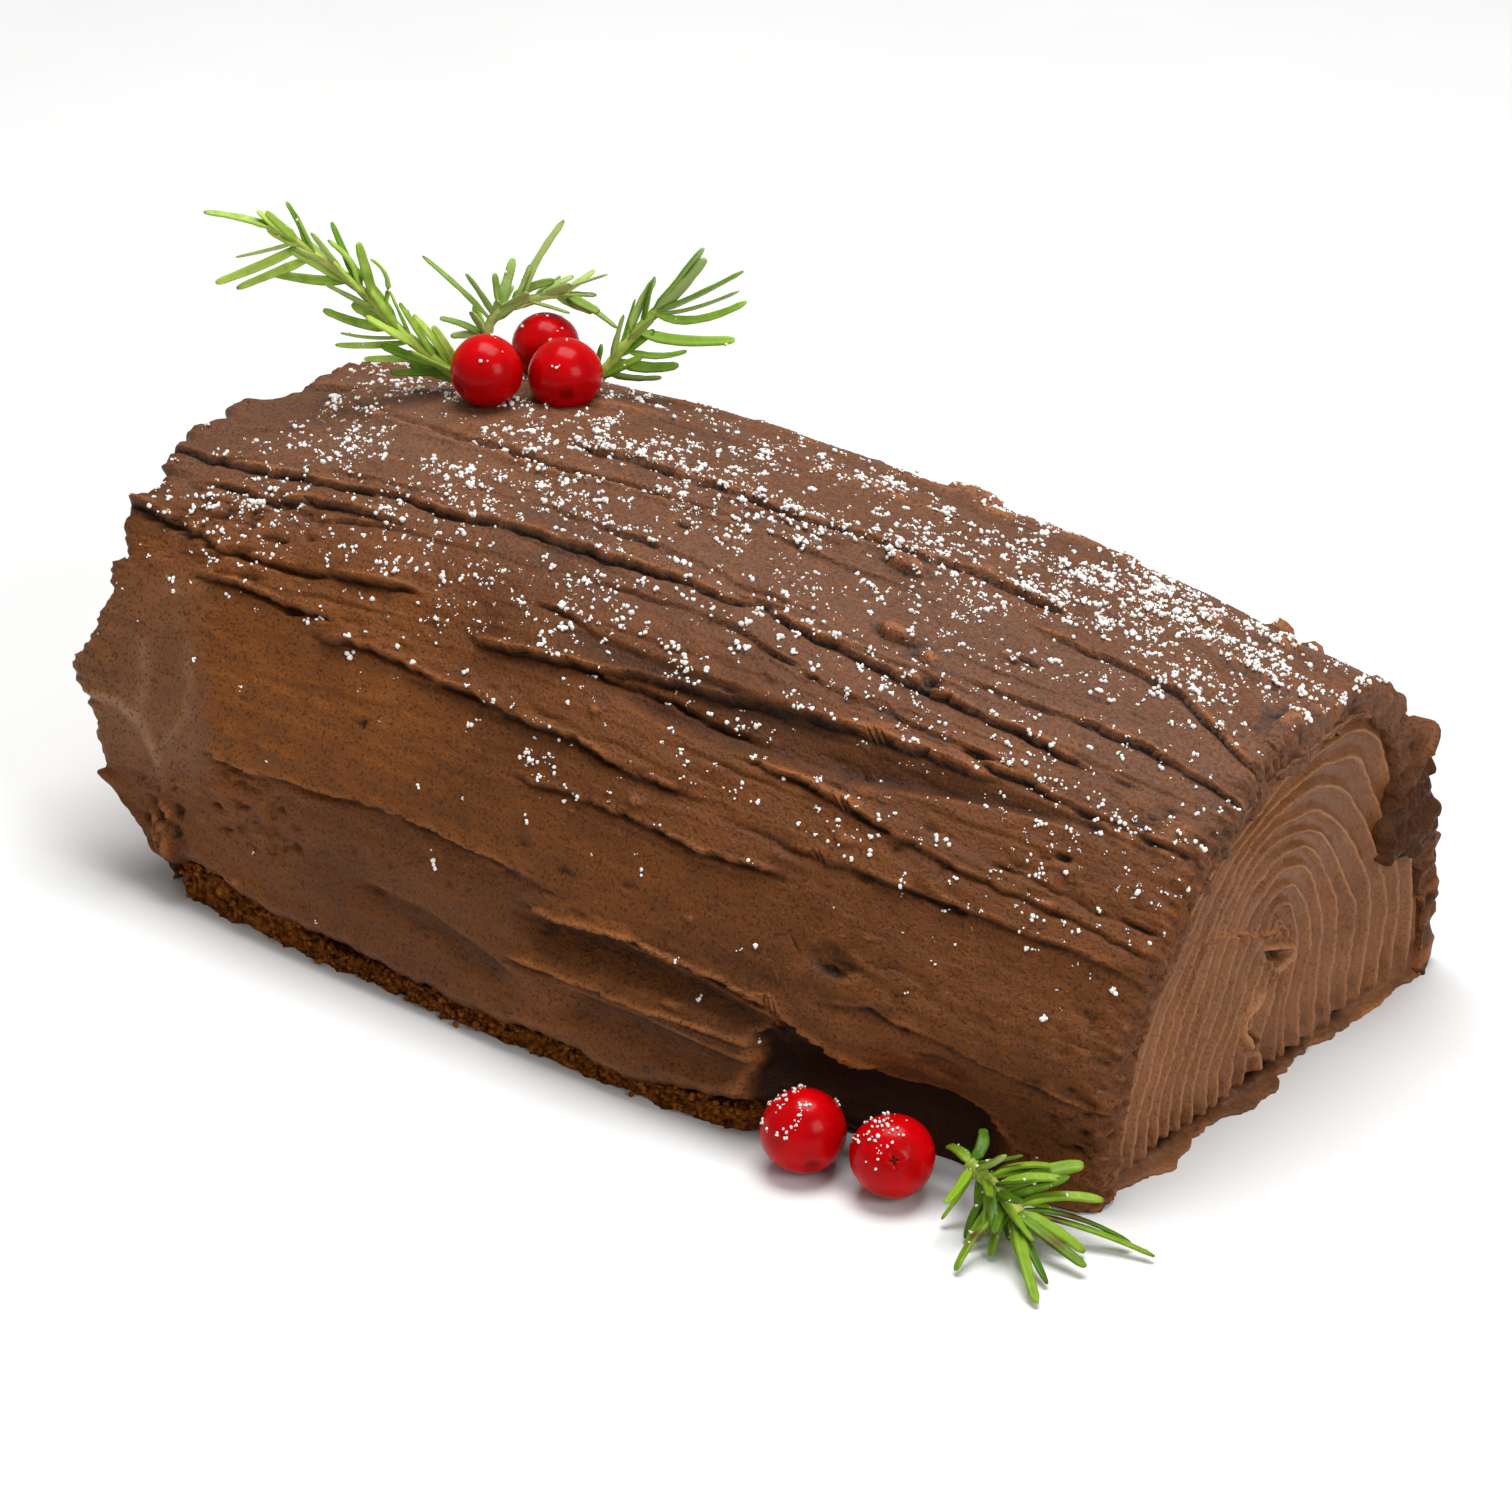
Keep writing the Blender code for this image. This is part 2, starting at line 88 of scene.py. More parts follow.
# Knife strokes on the front and the crown, from the foot up. Each has the line (x, v) of its lower
# edge, how far it reaches up, its height at its lower and its upper side, and how deep the crevice
# under its lower edge is. Each laps over those before it.
FRONT_STROKES = (
    (((-112, 0), (-60, 0), (104, 0)), 22, 0.7, 0.1, 0.0),
    (((-4, 13), (13, 14.5), (28, 14.5), (56, 15)), 12, 1.9, -1.0, 0.2),
    (((-2, 22), (15, 24), (32, 23), (49, 23), (62, 19)), 14, 2.4, 0.4, 0.5),
    (((-96, 31), (-88, 27.5), (-69, 26), (-43, 28.5), (-21, 28), (7, 26.5), (26, 26), (44, 24)), 30, 1.4, 0.2, 0.4),
    (((56, 27), (64, 29), (82, 27), (99, 25)), 24, 1.3, 0.3, 0.2),
    (((-10, 42), (6, 43), (28, 42), (40, 44)), 14, 1.3, 0.4, 0.2),
    (((33, 49), (52, 50), (72, 50), (100, 51)), 16, 1.2, 0.3, 0.2),
    (((-94, 65), (-74, 58.5), (-48, 54.5), (-32, 52.5), (-4, 51), (20, 50)), 18, 1.5, 0.3, 0.5),
    (((-92, 60), (-82, 59), (-64, 57.5), (-42, 60)), 12, 1.2, 0.5, 0.9),
    (((-62, 54), (-38, 54), (-24, 55), (-9, 54)), 14, 1.2, 0.4, 0.5),
    (((30, 60), (48, 59), (69, 57), (100, 56)), 14, 1.3, 0.2, 0.5),
    (((-6, 64), (15, 64), (34, 63), (54, 62), (74, 60), (102, 60)), 16, 0.5, 1.0, 1.0),
    (((-112, 74), (-101, 70), (-91, 66), (-74, 65), (-52, 67)), 22, 1.7, 0.3, 0.7),
    (((-28, 62), (-8, 64.5), (8, 67), (37, 72), (64, 74)), 22, 2.0, 0.4, 0.4),
    (((-20, 72), (-2, 70)), 14, 1.5, 0.6, 0.6),
    (((12, 81), (28, 79), (38, 77), (58, 76), (104, 76)), 16, 1.4, 0.3, 0.9),
    (((-103, 82), (-90, 80), (-62, 80)), 14, 1.3, 0.4, 0.5),
    (((-110, 90), (-92, 86), (-76, 85), (-59, 85.5), (-25, 86), (-4, 86.5), (16, 88), (26, 86), (76, 84)), 20, 1.4, 0.5, 1.1),
    (((12, 88.5), (26, 89), (46, 90), (64, 91), (84, 94), (104, 92)), 18, 1.2, 0.4, 0.6),
    (((-34, 92), (-9, 91), (22, 91)), 14, 1.5, 0.9, 0.3),
)
# The strokes over the crown, told from the highest down to the one whose sugared edge stands proud
# beside a deep crevice.
CROWN_STROKES = (
    (((-112, 128), (-60, 126), (0, 134), (104, 128)), 16, 1.0, 0.6, 0.4),
    (((-40, 112), (-18, 112), (3, 113), (26, 115), (44, 119), (60, 118)), 20, 1.4, 0.6, 1.1),
    (((60, 110), (72, 112), (85, 112.5), (94, 108), (104, 102)), 20, 1.3, 0.6, 0.8),
)
CREVICE = ((-94, 111), (-88, 109.5), (-64, 104.5), (-40, 104), (-22, 105), (-2, 106), (10, 107))
CREVICE_DEPTH = 2.3
CREVICE_EDGE = 0.9
STROKE_GAIN = 1.35
CAVITY_DEPTH = 3.2
# Short, shallow strokes strewn over the rest: how many, and the least and most of their length
SHORT_STROKES = 90
SHORT_LENGTHS = (14, 55)

# Holes and scoops (x, v, half length, half width, depth), and lumps the same way with a height
HOLES = (
    (-72, 57, 2.2, 0.8, 2.0), (-100, 41, 1.6, 1.2, 1.2), (54, 138, 1.6, 0.9, 1.4),
    (60, 101, 2.4, 0.9, 1.6), (64, 77, 2.2, 0.7, 1.4), (55, 34, 4.5, 2.6, 1.0),
    (70, 50, 3.0, 0.8, 0.9), (50, 86, 1.4, 1.0, 1.8), (-10, 99, 1.8, 0.8, 1.2),
    (84, 66, 1.8, 0.7, 1.2), (-48, 41, 1.0, 1.0, 1.2), (76, 22, 5.0, 2.5, 1.0),
)
LUMPS = (
    (30, 111, 4.2, 1.5, 2.2), (40, 93.5, 3.6, 1.7, 2.4), (47, 91, 2.0, 1.2, 1.8),
    (58, 100, 2.2, 1.0, 1.3), (-98, 41, 3.0, 2.0, 1.2), (-86, 108, 2.0, 3.0, 1.4),
    (-96, 112, 4.0, 5.0, 1.3), (76, 138, 2.4, 2.2, 1.4), (88, 143, 3.0, 2.0, 2.2),
    (-104, 62, 3.0, 3.0, 1.0), (-93, 14, 2.4, 1.8, 0.9), (98, 80, 3.0, 2.0, 0.8),
    (80, 160, 2.2, 2.2, 2.6), (86, 162, 1.8, 1.6, 2.0), (99, 164, 1.6, 1.2, 1.6), (28, 142, 4.0, 2.4, 1.8),
    (17, 154, 6.0, 4.0, 2.8), (-97, 9, 5.0, 3.0, 1.5), (102, 124, 2.0, 2.4, 1.6),
)
# How far the far rim stands out, at places round it: slanted steps where strokes end
FAR_RIM = (
    (0, -4.5), (7, -4.5), (10.5, -0.8), (12, 1.2), (14.5, 4.6), (17, 1.4), (20, 0.2), (25, -0.5), (30, 1.2),
    (33, 3.4), (35.2, 5.3), (37.4, 5.5), (39.4, 3.8), (42, 1.7), (46, 1.3), (55, 0.9), (58, 2.4), (60.5, 2.2), (62.5, 0.1),
    (65, 1.4), (68, 3.6), (72, 4.8), (75.5, 5.3), (78, 2.9), (83, 0.9), (85.5, 4.4), (88, 5.1), (93, 5.9),
    (96, 6.5), (99, 5.2), (103, 4.1), (106, 6.0), (109, 5.2), (112, 1.8), (114, 0.4), (117, 0.6), (120, -1.0),
    (122, 0.9), (126, 0.4), (129, -1.2), (133, 0.8), (140, 0.2), (147, 1.6), (150, 0.0), (158, 1.8), (161, 0.2),
    (172, 1.4), (176, 0.0), (188, 2.2), (191, 0.2), (205, 1.6), (209, 0.0), (221, 1.2), (226, 0.0), (240, 0.0),
)
# Facets that sink in under a lip: the line (x, v) along the middle, half width, depth and darkness, which is painted
# shade
SUNK_FACETS = (
    (((-14, 67.5), (2, 67), (20, 67.5), (40, 69.5)), 3.6, 1.0, 0.62),
    (((-4, 18), (12, 19.5), (32, 19), (52, 17)), 3.6, 2.2, 0.30),
    (((6, 9.5), (22, 10), (44, 9)), 3.2, 1.8, 0.32),
    (((-42, 13), (-26, 12.5), (-8, 9)), 2.8, 1.3, 0.30),
)
# Torn, crumbly frosting: x, v, half length, half width and how rough
ROUGH_PATCHES = (
    (-93, 76, 20, 7, 1.5), (-84, 65, 16, 4, 1.2), (-80, 22, 16, 4, 1.5), (-96, 11, 10, 7, 1.6), (-66, 17, 12, 4, 1.1), (-50, 57, 10, 3, 0.6),
    (92, 78, 11, 8, 1.0), (86, 61, 12, 5, 0.9), (97, 20, 7, 9, 1.2), (66, 53, 10, 4, 0.7), (20, 108, 14, 3, 0.6),
    (-20, 110, 20, 3, 0.7), (60, 34, 14, 4, 0.8), (98, 40, 6, 9, 0.7), (98, 120, 5, 14, 0.8),
)
# Soft curved ridges that the spatula left in the smear at the far end: line (x, v) and strength, which also sets a
# painted sheen highlight along them
SMEAR_ARCS = (
    (((-114, 31), (-105, 31), (-98, 27.5), (-94, 22), (-92, 16)), 1.0),
    (((-101.5, 44), (-98.5, 37), (-99.5, 29)), 0.6),
    (((-91, 46), (-88, 38), (-88.5, 31), (-92, 26)), 0.5),
)

PATH_STEPS = 190
FRONT_ROWS = 322
BACK_ROWS = 104
ROWS_SPLIT = 126.0
FACE_ROWS = 16

# The combed end: how many flutes lie between rim and seam, their depth, and the seam
FLUTES = 11
FLUTE_DEPTH = 1.9
SEAM_TOP = 30.0
SEAM_HEIGHT = 1.7
SEAM_HALF_WIDTH = 0.85
SEAM = (
    (8.6, 25.6), (8.0, 24.2), (4.6, 23.4), (2.2, 22.4), (1.2, 20.4), (-1.4, 18.6), (-5.6, 17.4), (-6.2, 14.6),
    (-3.4, 11.0), (-0.4, 7.6), (0.6, 4.8),
)
SEAM_HOOK = ((0.4, 28.9), (4.6, 27.4), (8.6, 25.6))
SEAM_SLOTS = (((0.8, 27.2), (5.2, 25.3)), ((1.6, 20.6), (3.6, 22.0)), ((-3.4, 13.0), (-0.8, 10.0)))

SUGAR_CLUMPS = 5200

CAMERA_AT = (0.48254, -0.66427, 0.44737)
CAMERA_LOOKS_AT = (-0.01003, 0.00385, 0.02803)
CAMERA_ROLL = 0.02578
CAMERA_LENS = 119.05


def smooth_step(value, low, high):
    share = np.clip((value - low) / (high - low), 0.0, 1.0)
    return share * share * (3.0 - 2.0 * share)


def bump(value, middle, half_width):
    return np.exp(-(((value - middle) / half_width) ** 2))


def noise(rng, a, b, size_a, size_b):
    """Smooth random values from -1 to 1 over two coordinates, changing over the given sizes."""
    a, b = np.broadcast_arrays(np.asarray(a, float), np.asarray(b, float))
    u = (a - a.min()) / size_a
    w = (b - b.min()) / size_b
    grid = rng.uniform(-1, 1, (int(u.max()) + 2, int(w.max()) + 2))
    i, j = u.astype(int), w.astype(int)
    s, t = smooth_step(u - i, 0, 1), smooth_step(w - j, 0, 1)
    low = grid[i, j] * (1 - s) + grid[i + 1, j] * s
    high = grid[i, j + 1] * (1 - s) + grid[i + 1, j + 1] * s
    return low * (1 - t) + high * t


def layered_noise(rng, a, b, size_a, size_b, layers=3):
    return sum(noise(rng, a, b, size_a / 2**k, size_b / 2**k) / 2**k for k in range(layers))


def wander(rng, x, size, amount):
    """A wavering along x, smooth over size and ragged below it."""
    return amount * layered_noise(rng, x, 0.0, size, 1.0, 4)


def swell(x, measure):
    far, fullest, near, fullest_at = measure
    to_far = fullest + (far - fullest) * ((fullest_at - x) / (fullest_at - FAR_END)) ** 2
    to_near = fullest + (near - fullest) * ((x - fullest_at) / (NEAR_END - fullest_at)) ** 2
    return np.where(x < fullest_at, to_far, to_near)


def hollow(x, z):
    along = smooth_step(x, *HOLLOW_RISES) * (1 - (1 - HOLLOW_KEPT) * smooth_step(x, *HOLLOW_FADES))
    return HOLLOW_DEPTH * along * (1 - smooth_step(z, *HOLLOW_TOP))


def section(x, v, inset=0.0):
    """The point (y, z) of the log's cross-section."""
    turn = np.clip(v / AROUND, 0, 1) * math.pi
    front = turn < math.pi / 2
    half_width = np.where(front, swell(x, FRONT_HALF_WIDTH), swell(x, BACK_HALF_WIDTH))
    side_power = np.where(front, swell(x, FRONT_SIDE_POWER), swell(x, BACK_SIDE_POWER))
    crown_power = np.where(front, swell(x, FRONT_CROWN_POWER), swell(x, BACK_CROWN_POWER))
    across = np.abs(np.cos(turn)) ** (2 / side_power) * (half_width - inset)
    up = np.clip(np.sin(turn), 0, 1) ** (2 / crown_power) * (swell(x, CROWN_HEIGHT) - inset)
    across = across + swell(x, HAUNCH) * np.sin(2 * np.minimum(turn, math.pi - turn))
    across = np.where(front, across - hollow(x, up), across)
    swollen = SHOULDER_SWELL * smooth_step(x, *SHOULDER_GROWS)
    swollen = swollen + SHOULDER_END_SWELL * smooth_step(x, *SHOULDER_END_GROWS)
    swollen = swollen * bump(v, SHOULDER_AT, SHOULDER_REACH)
    return np.where(front, -across, across) + SHOULDER_WAY[0] * swollen, up + SHOULDER_WAY[1] * swollen


def tucked(x, z):
    reach = 1 - smooth_step(x, FAR_END, FAR_END + TUCK_REACH)
    return x + TUCK * reach * (1 - smooth_step(z, 0.0, TUCK_HEIGHT))


def log_point(x, v, inset=0.0):
    x = tucked(x, section(x, v, inset)[1])
    y, z = section(x, v, inset)
    return np.stack(np.broadcast_arrays(x, y, z), -1)


def outward(x, v):
    """The direction (y, z) that faces out of the cross-section."""
    low = section(x, np.maximum(v - 0.3, 0.0))
    high = section(x, np.minimum(v + 0.3, AROUND))
    along_y, along_z = high[0] - low[0], high[1] - low[1]
    length = np.hypot(along_y, along_z) + 1e-9
    return -along_z / length, along_y / length


def v_at_height(x, front, height):
    crown_power = swell(x, FRONT_CROWN_POWER if front else BACK_CROWN_POWER)
    turn = np.arcsin((np.maximum(height, 0) / swell(x, CROWN_HEIGHT)) ** (crown_power / 2))
    v = turn / math.pi * AROUND
    return v if front else AROUND - v


def blurred(grid, rounds):
    for _ in range(rounds):
        for axis in (0, 1):
            ahead = np.take(grid, np.r_[1 : grid.shape[axis], grid.shape[axis] - 1], axis)
            behind = np.take(grid, np.r_[0, 0 : grid.shape[axis] - 1], axis)
            grid = (ahead + 2 * grid + behind) / 4
    return grid


def lay_stroke(rng, relief, x, v, stroke):
    """Adds one knife stroke to the relief: a band that stands proud at its lower edge, sinks towards
    its upper side, and has a ragged edge with a thin lip above a crevice."""
    line, reach, proud, sunk, groove = stroke
    line_x, line_v = zip(*line)
    edge = np.interp(x, line_x, line_v) + wander(rng, x, 12.0, 0.5) + wander(rng, x, 2.4, 0.28)
    above = v - edge
    skew = 1.6 * noise(rng, x, v, 7.0, 1.2)
    ends = smooth_step(x + skew, line_x[0] - 7, line_x[0] + 3)
    ends = ends * (1 - smooth_step(x + skew, line_x[-1] - 3, line_x[-1] + 7))
    cover = smooth_step(above, -0.2, 0.25) * (1 - smooth_step(above / reach, 0.6, 1.0)) * ends
    drag = 0.1 * noise(rng, x, v, 24.0, 0.9) + 0.14 * noise(rng, x, v, 40.0, 2.6)
    swell_along = 1 + 0.35 * noise(rng, x, 0.0, 18.0, 1.0)
    fall = np.clip(above / reach, 0, 1)
    surface = STROKE_GAIN * (proud + (sunk - 0.6 - proud) * fall) * swell_along + drag
    relief = relief * (1 - cover) + surface * cover
    broken = np.clip(0.7 + 0.7 * noise(rng, x, v, 4.0, 2.0), 0, 1.3)
    relief += 0.14 * proud * bump(above, 0.35, 0.4) * ends * broken
    depth = (0.25 + groove) * np.clip(broken, 0.3, 1.1)
    return relief - depth * bump(above, -0.42, 0.45) * ends


def back_strokes(rng):
    """Strokes on the back, which the photo doesn't show, from the foot up and given for the front."""
    strokes = []
    at = 2.0
    while at < 108:
        starts = -112 if rng.random() < 0.6 else rng.uniform(-100, -10)
        ends = 104 if rng.random() < 0.6 else rng.uniform(10, 96)
        if ends - starts < 50:
            ends = starts + 50
        stops = np.linspace(starts, ends, 5)
        line = [(x, at + rng.uniform(-2.5, 2.5)) for x in stops]
        proud = rng.uniform(1.0, 1.7)
        strokes.append((line, rng.uniform(14, 24), proud, rng.uniform(0.2, 0.5), rng.uniform(0.2, 0.9)))
        at += rng.uniform(5.0, 10.5)
    return strokes


def bark_relief(x, v):
    """Height of the frosting over the smooth cross-section, in millimetres."""
    rng = np.random.default_rng(5)
    relief = 0.5 + 0.35 * layered_noise(rng, x, v, 45.0, 14.0) + 0.1 * noise(rng, x, v, 30.0, 1.4)
    back = AROUND - v
    for stroke in back_strokes(rng):
        relief = lay_stroke(rng, relief, x, back, stroke)
    for stroke in FRONT_STROKES + CROWN_STROKES:
        relief = lay_stroke(rng, relief, x, v, stroke)
    for _ in range(SHORT_STROKES):
        middle, length = rng.uniform(-112, 104), rng.uniform(*SHORT_LENGTHS)
        at, slope = rng.uniform(12, 232), rng.uniform(-0.02, 0.07)
        edge = at + slope * (x - middle) + wander(rng, x, 9.0, 0.5) + wander(rng, x, 2.2, 0.25)
        above = (v - edge) if at < AROUND / 2 else (edge - v)
        ends = bump(x, middle, length / 2)
        height = rng.uniform(0.25, 0.75) * ends * (1 - 0.7 * bump(at, 40, 20))
        reach = rng.uniform(3.0, 6.0)
        relief = relief + height * smooth_step(above, -0.2, 0.3) * np.clip(1 - above / reach, 0, 1)
        relief = relief - 0.6 * height * bump(above, -0.4, 0.45)
    line_x, line_v = zip(*CREVICE)
    below = np.interp(x, line_x, line_v) + wander(rng, x, 8.0, 0.4) + wander(rng, x, 1.6, 0.25) - v
    ends = smooth_step(x, line_x[0] - 4, line_x[0] + 6) * (1 - smooth_step(x, -6, line_x[-1]))
    deep = CREVICE_DEPTH * (0.5 + 0.5 * bump(x, -62, 26) + 0.2 * noise(rng, x, v, 5.0, 9.0))
    relief = relief - deep * ends * bump(below, 0.0, 0.8)
    relief = relief + CREVICE_EDGE * ends * bump(below, 1.7, 1.1)
    for at_x, at_v, half_long, half_wide, height in LUMPS:
        ragged = 0.35 * layered_noise(rng, x, v, 2.6, 2.0)
        away = ((x - at_x) / half_long) ** 2 + ((v - at_v) / half_wide) ** 2 + ragged
        relief = relief + height * (1 - smooth_step(away, 0.25, 1.5))
    for at_x, at_v, half_long, half_wide, depth in HOLES:
        ragged = 0.3 * layered_noise(rng, x, v, 2.0, 1.6)
        away = ((x - at_x) / half_long) ** 2 + ((v - at_v) / half_wide) ** 2 + ragged
        relief = relief - depth * (1 - smooth_step(away, 0.5, 1.3))
    for _ in range(110):
        at_x, at_v = rng.uniform(-106, 100), rng.uniform(6, 234)
        size = rng.uniform(0.4, 1.0)
        ragged = 0.5 * layered_noise(rng, x, v, 1.8, 1.2, 2)
        away = ((x - at_x) / (rng.uniform(1.4, 3.2) * size)) ** 2 + ((v - at_v) / size) ** 2 + ragged
        relief = relief + rng.choice((-0.6, -0.45, 0.45, 0.7)) * (1 - smooth_step(away, 0.1, 1.3))
    relief = relief - CAVITY_DEPTH * cavity_share(x, v)
    relief = relief - 1.6 * shaded_facet(x, v)
    folds = np.sin(v / 5.2 + 0.02 * x + 1.2 * noise(rng, x, 0.0, 28.0, 1.0))
    relief = relief + 0.4 * folds * bump(v, 24, 15) * smooth_step(x, -70, -30)
    for line, half_width, depth, _ in SUNK_FACETS:
        relief = relief - depth * facet_share(x, v, line, half_width)
    rough = layered_noise(rng, x, v, 2.8, 1.8, 4)
    torn = np.clip(layered_noise(rng, x, v, 22.0, 10.0) - 0.25, 0, 1)
    for at_x, at_v, half_long, half_wide, strength in ROUGH_PATCHES:
        away = ((x - at_x) / half_long) ** 2 + ((v - at_v) / half_wide) ** 2
        torn = np.maximum(torn, 1.5 * strength * (1 - smooth_step(away + 0.5 * rough, 0.1, 1.3)))
    relief = relief + np.where(rough < 0, 1.3, 0.8) * rough * (0.06 + 0.35 * torn)
    return np.maximum(relief, -3.6)


def facet_share(x, v, line, half_width):
    """1 in the facet along the line, deepest near its upper side and coming out gently below."""
    line_x, line_v = zip(*line)
    away = (v - np.interp(x, line_x, line_v)) / half_width
    ends = smooth_step(x, line_x[0] - 6, line_x[0] + 4) * (1 - smooth_step(x, line_x[-1] - 4, line_x[-1] + 6))
    return ends * smooth_step(away, -1.3, 0.4) * (1 - smooth_step(away, 0.55, 1.0))


def smear_arcs(x, v):
    """The curved ridges in the smear, from 0 to 1."""
    arcs = 0.0
    for line, strength in SMEAR_ARCS:
        away = distance_to_line(x, v, line)[0]
        arcs = arcs + strength * bump(away, 0.0, 1.0)
    return np.clip(arcs, 0, 1)


def cavity_share(x, v):
    """The hollow under the frosting's brow, behind the foot berries: it sinks the relief and is painted as shade in
    the colour.
    """
    rng = np.random.default_rng(77)
    brow = 17 + 2.2 * np.sin((x - 40) / 5.5) + wander(rng, x, 4.0, 1.0)
    brow = brow - 9 * smooth_step(x, 72, 90)
    starts = 44 + 0.9 * np.sin(v / 1.7)
    return smooth_step(x, starts - 1.2, starts + 1.2) * (1 - smooth_step(x, 80, 90)) * smooth_step(brow - v, 0.0, 0.9)


def shaded_facet(x, v):
    """The broad facet that slopes in under the long stroke along the middle of the front: it sinks the relief and is
    painted as shade in the colour.
    """
    top = np.interp(x, (-8, 8, 37, 64, 90), (64.5, 67, 72, 74, 75))
    width = 1.5 + 6.5 * bump(x, 34, 34)
    down = np.clip((top - v) / width, 0, 1.6)
    ends = smooth_step(x, -8, 8) * (1 - smooth_step(x, 70, 92))
    return ends * smooth_step(down, 0, 1) * (1 - smooth_step(down, 1.0, 1.5))


def smear_share(x, v):
    """Where the frosting was wiped smooth round the far end of the front."""
    edge = -88 + 6 * np.sin(v / 14.0)
    front = (1 - smooth_step(x, edge - 4, edge + 5)) * smooth_step(v, 17, 24) * (1 - smooth_step(v, 55, 66))
    crown = bump(x, -78, 24) * smooth_step(v, 92, 97) * (1 - smooth_step(v, 122, 130))
    return np.maximum(front, 0.45 * crown)


def make_mesh(name, points, faces, material, attributes=()):
    """An object from points in millimetres, with named values for each point."""
    mesh = bpy.data.meshes.new(name)
    mesh.from_pydata((np.asarray(points, float) * MM).tolist(), [], faces)
    for label, values in attributes:
        layer = mesh.attributes.new(label, "FLOAT", "POINT")
        layer.data.foreach_set("value", np.asarray(values, np.float32).ravel())
    mesh.update()
    mesh.shade_smooth()
    thing = bpy.data.objects.new(name, mesh)
    thing.data.materials.append(material)
    bpy.context.scene.collection.objects.link(thing)
    return thing


def grid_faces(index):
    """Quads over a grid of point numbers, facing along rows x columns."""
    quads = np.stack([index[:-1, :-1], index[1:, :-1], index[1:, 1:], index[:-1, 1:]], -1)
    return quads.reshape(-1, 4).tolist()


def stitch(fine, coarse):
    """Triangles that join two rows of points, each spread evenly over the same stretch."""
    faces = []
    i = j = 0
    while i < len(fine) - 1 or j < len(coarse) - 1:
        fine_next = (i + 1) / (len(fine) - 1)
        coarse_next = (j + 1) / (len(coarse) - 1)
        if j == len(coarse) - 1 or (i < len(fine) - 1 and fine_next <= coarse_next):
            faces.append([int(fine[i]), int(fine[i + 1]), int(coarse[j])])
            i += 1
        else:
            faces.append([int(fine[i]), int(coarse[j + 1]), int(coarse[j])])
            j += 1
    return faces


def bark_path():
    """The way along the log's skin, from inside its far rim to inside its near rim: x, inset and how
    much the skin faces along x."""
    round_far, round_near = 1.6, 1.7
    steps = []
    for x in (-104.0, -108.0):
        steps.append((x, FROSTING, 0.0))
    for inset in np.linspace(FROSTING, round_far, 5):
        steps.append((FAR_END, inset, -1.0))
    for angle in np.linspace(0, math.pi / 2, 7)[1:-1]:
        x = FAR_END + round_far * (1 - math.cos(angle))
        steps.append((x, round_far * (1 - math.sin(angle)), -math.cos(angle)))
    between = np.linspace(0, 1, PATH_STEPS)
    eased = between + 0.035 * np.sin(2 * math.pi * between)
    for share in eased:
        steps.append((FAR_END + round_far + share * (NEAR_END - round_near - FAR_END - round_far), 0.0, 0.0))
    for angle in np.linspace(0, math.pi / 2, 9)[1:-1]:
        x = NEAR_END - round_near * (1 - math.sin(angle))
        steps.append((x, round_near * (1 - math.cos(angle)), math.sin(angle)))
    for inset in np.linspace(round_near, FROSTING + 0.6, FACE_ROWS):
        steps.append((NEAR_END, inset, 1.0))
    for x in (101.0, 97.0):
        steps.append((x, FROSTING + 0.6, 0.0))
    return np.array(steps)


def frosting_edge(rng, x):
    """Height of the bark's lower edge: a wavy lip over the sponge, then down on the board."""
    lip = EDGE_HEIGHT + wander(rng, x, 22.0, 1.5) + wander(rng, x, 6.0, 0.6) + wander(rng, x, 1.8, 0.35)
    lip = lip + 3.6 * bump(x, -84, 13) + 1.2 * bump(x, -30, 18)
    return np.maximum(lip, 3.0) * (1 - smooth_step(x, *EDGE_DROPS))


